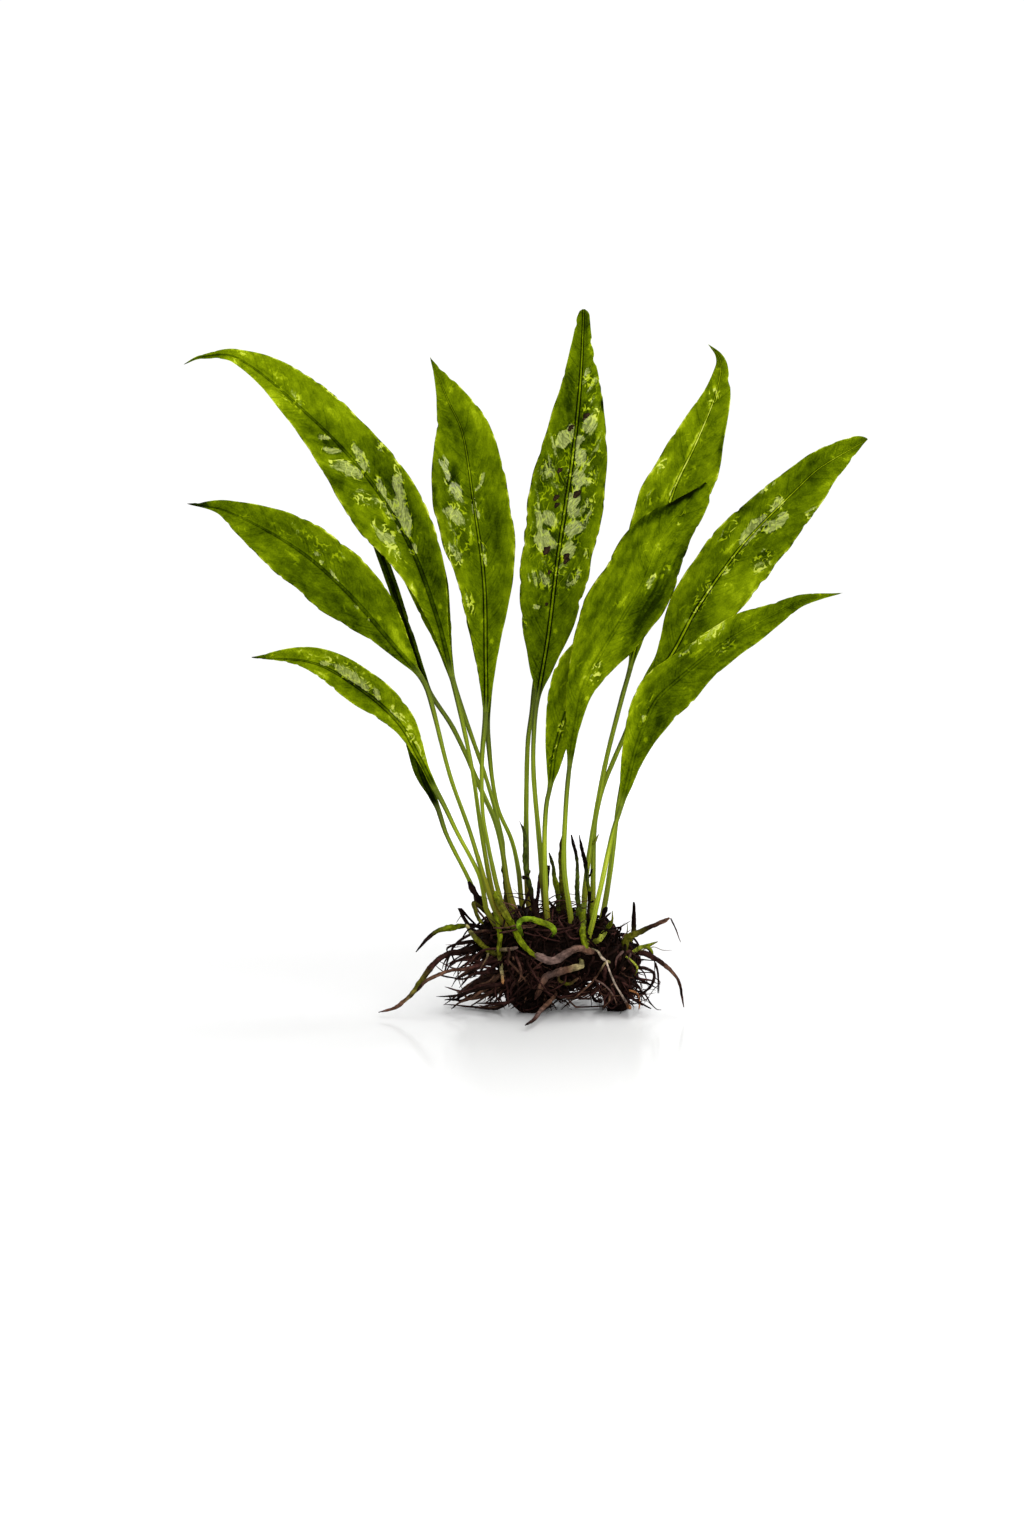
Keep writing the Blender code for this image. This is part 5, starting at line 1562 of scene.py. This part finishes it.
def leaf_material():
    """Make the leaf: mottled green, a net of veins, painted glints and wet patches with painted sheen."""
    material, graph = new_material("leaf_fine")
    flat = graph.add("UVMap", uv_map="flat").outputs["UV"]
    across = graph.maths("ABSOLUTE", graph.part(flat, "X"))
    tone = graph.stored("tone")
    share = graph.stored("share")
    reach = graph.stored("reach")
    wet = graph.stored("wet")
    on_blade = graph.span(share, -0.01, 0.05)
    # the stored map follows the side veins, and this one runs straight along the leaf
    bent = graph.times(across, graph.plus(graph.times(across, VEIN_BEND), VEIN_SLOPE))
    along = graph.plus(graph.part(flat, "Y"), bent)
    straight = graph.add("CombineXYZ", {"X": graph.part(flat, "X"), "Y": along}).outputs[0]
    # a net of cells that follows the side veins, and long curly lines
    coarse = graph.scaled(graph.warped(flat, 0.3, 3.2), 0.33, 0.42, 1)
    coarse_line = graph.span(graph.cells(coarse, "DISTANCE_TO_EDGE", "Distance"), 0.02, 0.07, 1.0, 0.0)
    cell = graph.part(graph.cells(coarse, "F1", "Color"), "X")
    wandering = graph.warped(straight, 0.25, 4.0)
    fine = graph.cloud(graph.scaled(wandering, 0.62, 0.26, 1), detail=1.0)
    fine_line = graph.span(graph.maths("ABSOLUTE", graph.swing(fine, 1.0)), 0.025, 0.06, 1.0, 0.0)
    # mottles, large and small, streaks along the side veins and stripes along the leaf
    large = graph.cloud(graph.scaled(straight, 0.14, 0.07, 1), detail=2.0)
    middle = graph.cloud(graph.scaled(wandering, 0.5, 0.3, 1), detail=4.0, rough=0.6)
    streak = graph.cloud(graph.scaled(flat, 0.2, 0.8, 1), detail=2.0)
    stripe = graph.cloud(graph.scaled(straight, 0.75, 0.025, 1), detail=3.0)
    grain = graph.cloud(straight, 1.9, 4.0, 0.65)
    # glints: painted highlights on bits of the curly lines, in the wet patches and here and there
    gate = graph.span(graph.cloud(graph.scaled(straight, 0.2, 0.14, 1), detail=1.0), 0.56, 0.63)
    gate = graph.times(gate, graph.span(across, 3.0, 7.0, 0.35, 0.0))
    broken = graph.span(graph.cloud(straight, 0.42, 2.0), 0.42, 0.52)
    gate = graph.maths("MAXIMUM", gate, graph.span(wet, 0.08, 0.4))
    glints = graph.times(gate, graph.times(fine_line, broken))
    dull = graph.times(graph.span(wet, 0.1, 0.35), -0.09)
    # short dark side veins near the midrib
    vein = graph.span(graph.cloud(graph.scaled(flat, 0.1, 1.1, 1), detail=1.0), 0.30, 0.42, 1.0, 0.0)
    near_rib = graph.times(graph.span(across, 0.6, 1.2), graph.span(across, 2.5, 6.0, 1.0, 0.0))
    vein = graph.times(vein, near_rib)
    change = graph.plus(
        graph.swing(large, 0.7), graph.swing(middle, 0.5), graph.swing(streak, 0.1),
        graph.swing(grain, 0.34), graph.times(graph.swing(stripe, 1.6), graph.stored("streaks")),
        graph.swing(cell, 0.05), graph.times(glints, 0.55), graph.times(coarse_line, -0.04), dull,
        graph.times(vein, -0.1), graph.swing(graph.times(reach, reach), 0.1))
    # midrib: olive between two dark lines
    from_rib = graph.maths("DIVIDE", across, graph.stored("width"))
    rib = graph.span(from_rib, 0.45, 0.8, 1.0, 0.0)
    beside = graph.times(graph.span(from_rib, 0.5, 0.9), graph.span(from_rib, 1.4, 2.0, 1.0, 0.0))
    # margin: thin, light in some places and dark in others
    margin = graph.times(graph.span(reach, 0.93, 0.985), graph.plus(graph.swing(middle, 1.8), 0.16))
    tip = graph.times(graph.span(share, 0.97, 1.0), -0.12)
    change = graph.plus(change, graph.times(rib, graph.stored("rib")),
                        graph.times(beside, graph.stored("lines")), margin, tip)
    stripes = graph.cloud(graph.scaled(flat, 1.7, 0.035, 1), detail=2.0)
    on_stalk = graph.maths("SUBTRACT", 1.0, on_blade)
    stalk_change = graph.plus(graph.swing(stripes, 1.3), graph.swing(grain, 0.2))
    change = graph.plus(graph.times(change, on_blade), graph.times(stalk_change, on_stalk))
    colour = graph.ramp(graph.maths("ADD", tone, change, clamp=True), LEAF_COLOURS)
    colour = graph.mixed("MIX", graph.times(on_stalk, STALK_PALENESS), colour, PALE_STALK)
    foot = graph.times(graph.stored("foot"), graph.span(stripes, 0.35, 0.6, 0.25, 0.85))
    colour = graph.mixed("MIX", foot, colour, FOOT_COLOUR)
    # the wet film fills some cells of the coarse net, and leaves their edges dark: a glossy coat,
    # and a pale painted sheen mixed into the colour, a painted reflection of the lights
    coat_and_sheen = graph.plus(wet, graph.swing(cell, 0.6), graph.swing(middle, 1.1), graph.swing(grain, 0.9))
    coat_and_sheen = graph.times(graph.span(coat_and_sheen, 0.5, 0.8), graph.span(from_rib, 1.0, 1.8))
    petals = graph.scaled(graph.warped(flat, 0.4, 2.0), 0.34, 0.8, 1)
    petals = graph.span(graph.cells(petals, "DISTANCE_TO_EDGE", "Distance"), 0.02, 0.14, 0.45, 1.0)
    speckle = graph.span(graph.cloud(straight, 1.3, 4.0, 0.65), 0.36, 0.64, 0.5, 0.85)
    colour = graph.mixed("MIX", graph.times(coat_and_sheen, petals, speckle), colour, PAINTED_SHEEN_COLOUR)
    relief = graph.plus(graph.times(grain, 0.5), graph.times(coarse_line, -0.4), graph.times(fine_line, 0.3))
    normal = graph.bump(relief, *LEAF_RELIEF)
    graph.plug_all(graph.shader, {
        "Base Color": colour, "Roughness": graph.span(grain, 0.3, 0.7, 0.42, 0.6),
        "Specular IOR Level": 0.0, "Coat Weight": graph.times(coat_and_sheen, FILM_COAT), "Coat Roughness": 0.16,
        "Coat IOR": 1.6, "Normal": normal, "Coat Normal": normal})
    # light that passes through
    glow = graph.mixed("MULTIPLY", 1.0, colour, GLOW)
    through = graph.add("BsdfTranslucent", {"Color": glow, "Normal": normal})
    both = graph.add("MixShader", {"Fac": GLOW_SHARE, 1: graph.shader.outputs["BSDF"],
                                   2: through.outputs["BSDF"]})
    graph.plug(both.outputs["Shader"], graph.tree.nodes["Material Output"].inputs["Surface"])
    return material


def fibre_material(name, roughness, specular, variation):
    """Make a root or stub: the colour stored on the mesh, mottled, rough and grainy."""
    material, graph = new_material(name)
    place = graph.add("TexCoord").outputs["Object"]
    mottle = graph.cloud(place, MOTTLE_SCALE, 4.0, 0.65)
    grain = graph.cloud(place, GRAIN_SCALE, 3.0, 0.6)
    level = graph.span(mottle, 0.32, 0.68, 1 - variation, 1 + variation)
    level = graph.grey(graph.times(level, graph.span(grain, 0.3, 0.7, 0.75, 1.25)))
    relief = graph.plus(mottle, graph.times(grain, 0.4))
    graph.plug_all(graph.shader, {
        "Base Color": graph.mixed("MULTIPLY", 1.0, graph.stored("tint", "Color"), level),
        "Roughness": graph.span(grain, 0.3, 0.7, roughness - 0.1, roughness + 0.12),
        "Specular IOR Level": specular, "Normal": graph.bump(relief, *ROOT_RELIEF)})
    return material


def floor_material():
    """Make the white floor, slightly glossy, with painted shade: greyer round the plant than further out."""
    material, graph = new_material("white_floor")
    place = graph.add("TexCoord").outputs["Object"]
    distance = graph.add("VectorMath", {0: place}, operation="LENGTH").outputs["Value"]
    # painted shade: the floor colour is greyer near the plant than far out
    light = graph.span(distance, *FLOOR_REACH, *FLOOR_LIGHT)
    light = graph.plus(light, graph.swing(graph.cloud(place, 9.0, 3.0), 0.02))
    graph.plug_all(graph.shader, {
        "Base Color": graph.grey(light), "Roughness": graph.span(light, 0.5, 1.0, 0.1, 0.3),
        "Specular IOR Level": FLOOR_GLOSS})
    return material


# Room


def add_floor():
    """Lay the white floor."""
    left, right, front, back = FLOOR_EDGES
    mesh = bpy.data.meshes.new("floor")
    corners = [(left, front, 0), (right, front, 0), (right, back, 0), (left, back, 0)]
    mesh.from_pydata(corners, [], [(0, 1, 2, 3)])
    mesh.materials.append(floor_material())
    floor = bpy.data.objects.new("floor", mesh)
    bpy.context.scene.collection.objects.link(floor)


def add_softbox(name, place, width, height, power):
    """Hang one rectangular light."""
    data = bpy.data.lights.new(name, "AREA")
    data.shape = "RECTANGLE"
    data.size = width
    data.size_y = height
    data.energy = power
    lamp = bpy.data.objects.new(name, data)
    lamp.location = place
    lamp.rotation_mode = "QUATERNION"
    lamp.rotation_quaternion = (LAMPS_AIM - Vector(place)).to_track_quat("-Z", "Y")
    bpy.context.scene.collection.objects.link(lamp)


def light_room():
    """Light the plant like a studio: bright white behind, soft boxes in front."""
    world = bpy.data.worlds.new("studio")
    world.use_nodes = True
    graph = Graph(world.node_tree)
    behind = graph.part(graph.add("TexCoord").outputs["Generated"], "Y")
    strength = graph.span(behind, *SKY_REACH, *SKY_LIGHT)
    graph.plug_all(graph.tree.nodes["Background"], {"Color": (1, 1, 1, 1), "Strength": strength})
    bpy.context.scene.world = world
    for lamp in LAMPS:
        add_softbox(*lamp)


def add_camera():
    """Stand the camera where the photo was taken."""
    data = bpy.data.cameras.new("camera")
    data.sensor_width = SENSOR
    data.lens = SENSOR * VIEW_DISTANCE / VIEW_HEIGHT
    data.clip_start, data.clip_end = VIEW_CLIP
    camera = bpy.data.objects.new("camera", data)
    camera.location = camera_place()
    camera.rotation_euler = (math.pi / 2 - VIEW_TILT, 0, 0)
    bpy.context.scene.collection.objects.link(camera)
    bpy.context.scene.camera = camera


def slot_of(name):
    """Return the slot of a strand or stub."""
    if name.startswith("sprout"):
        return "sprout"
    if name.startswith("stub"):
        return "stub"
    return STRAND_SLOTS.get(name, "root")


def build():
    """Dress the plant."""
    noise.seed_set(SEED)
    bpy.context.scene.view_settings.view_transform = "Standard"
    leaf = leaf_material()
    root = fibre_material("root_fine", roughness=0.5, specular=0.01, variation=0.45)
    living = fibre_material("living_fine", roughness=0.45, specular=0.02, variation=0.4)
    leaves = {frond.name: add_frond(frond, number, leaf) for number, frond in enumerate(FRONDS)}
    add_sori(leaves[UNDERSIDE_SEEN], root)
    surface = add_root_ball(root)
    for strand in STRANDS + STUBS:
        slot = slot_of(strand.name)
        add_strand(strand, surface, living if slot in LIVING_SLOTS else root)
    for name, material in (("frond_08", living), ("frond_05", root)):
        store = ([], [], [])
        add_threads(store, surface, name)
        add_tinted(name + "_foot", store, material, name + "_stalk")
    add_floor()
    light_room()
    add_camera()


build()
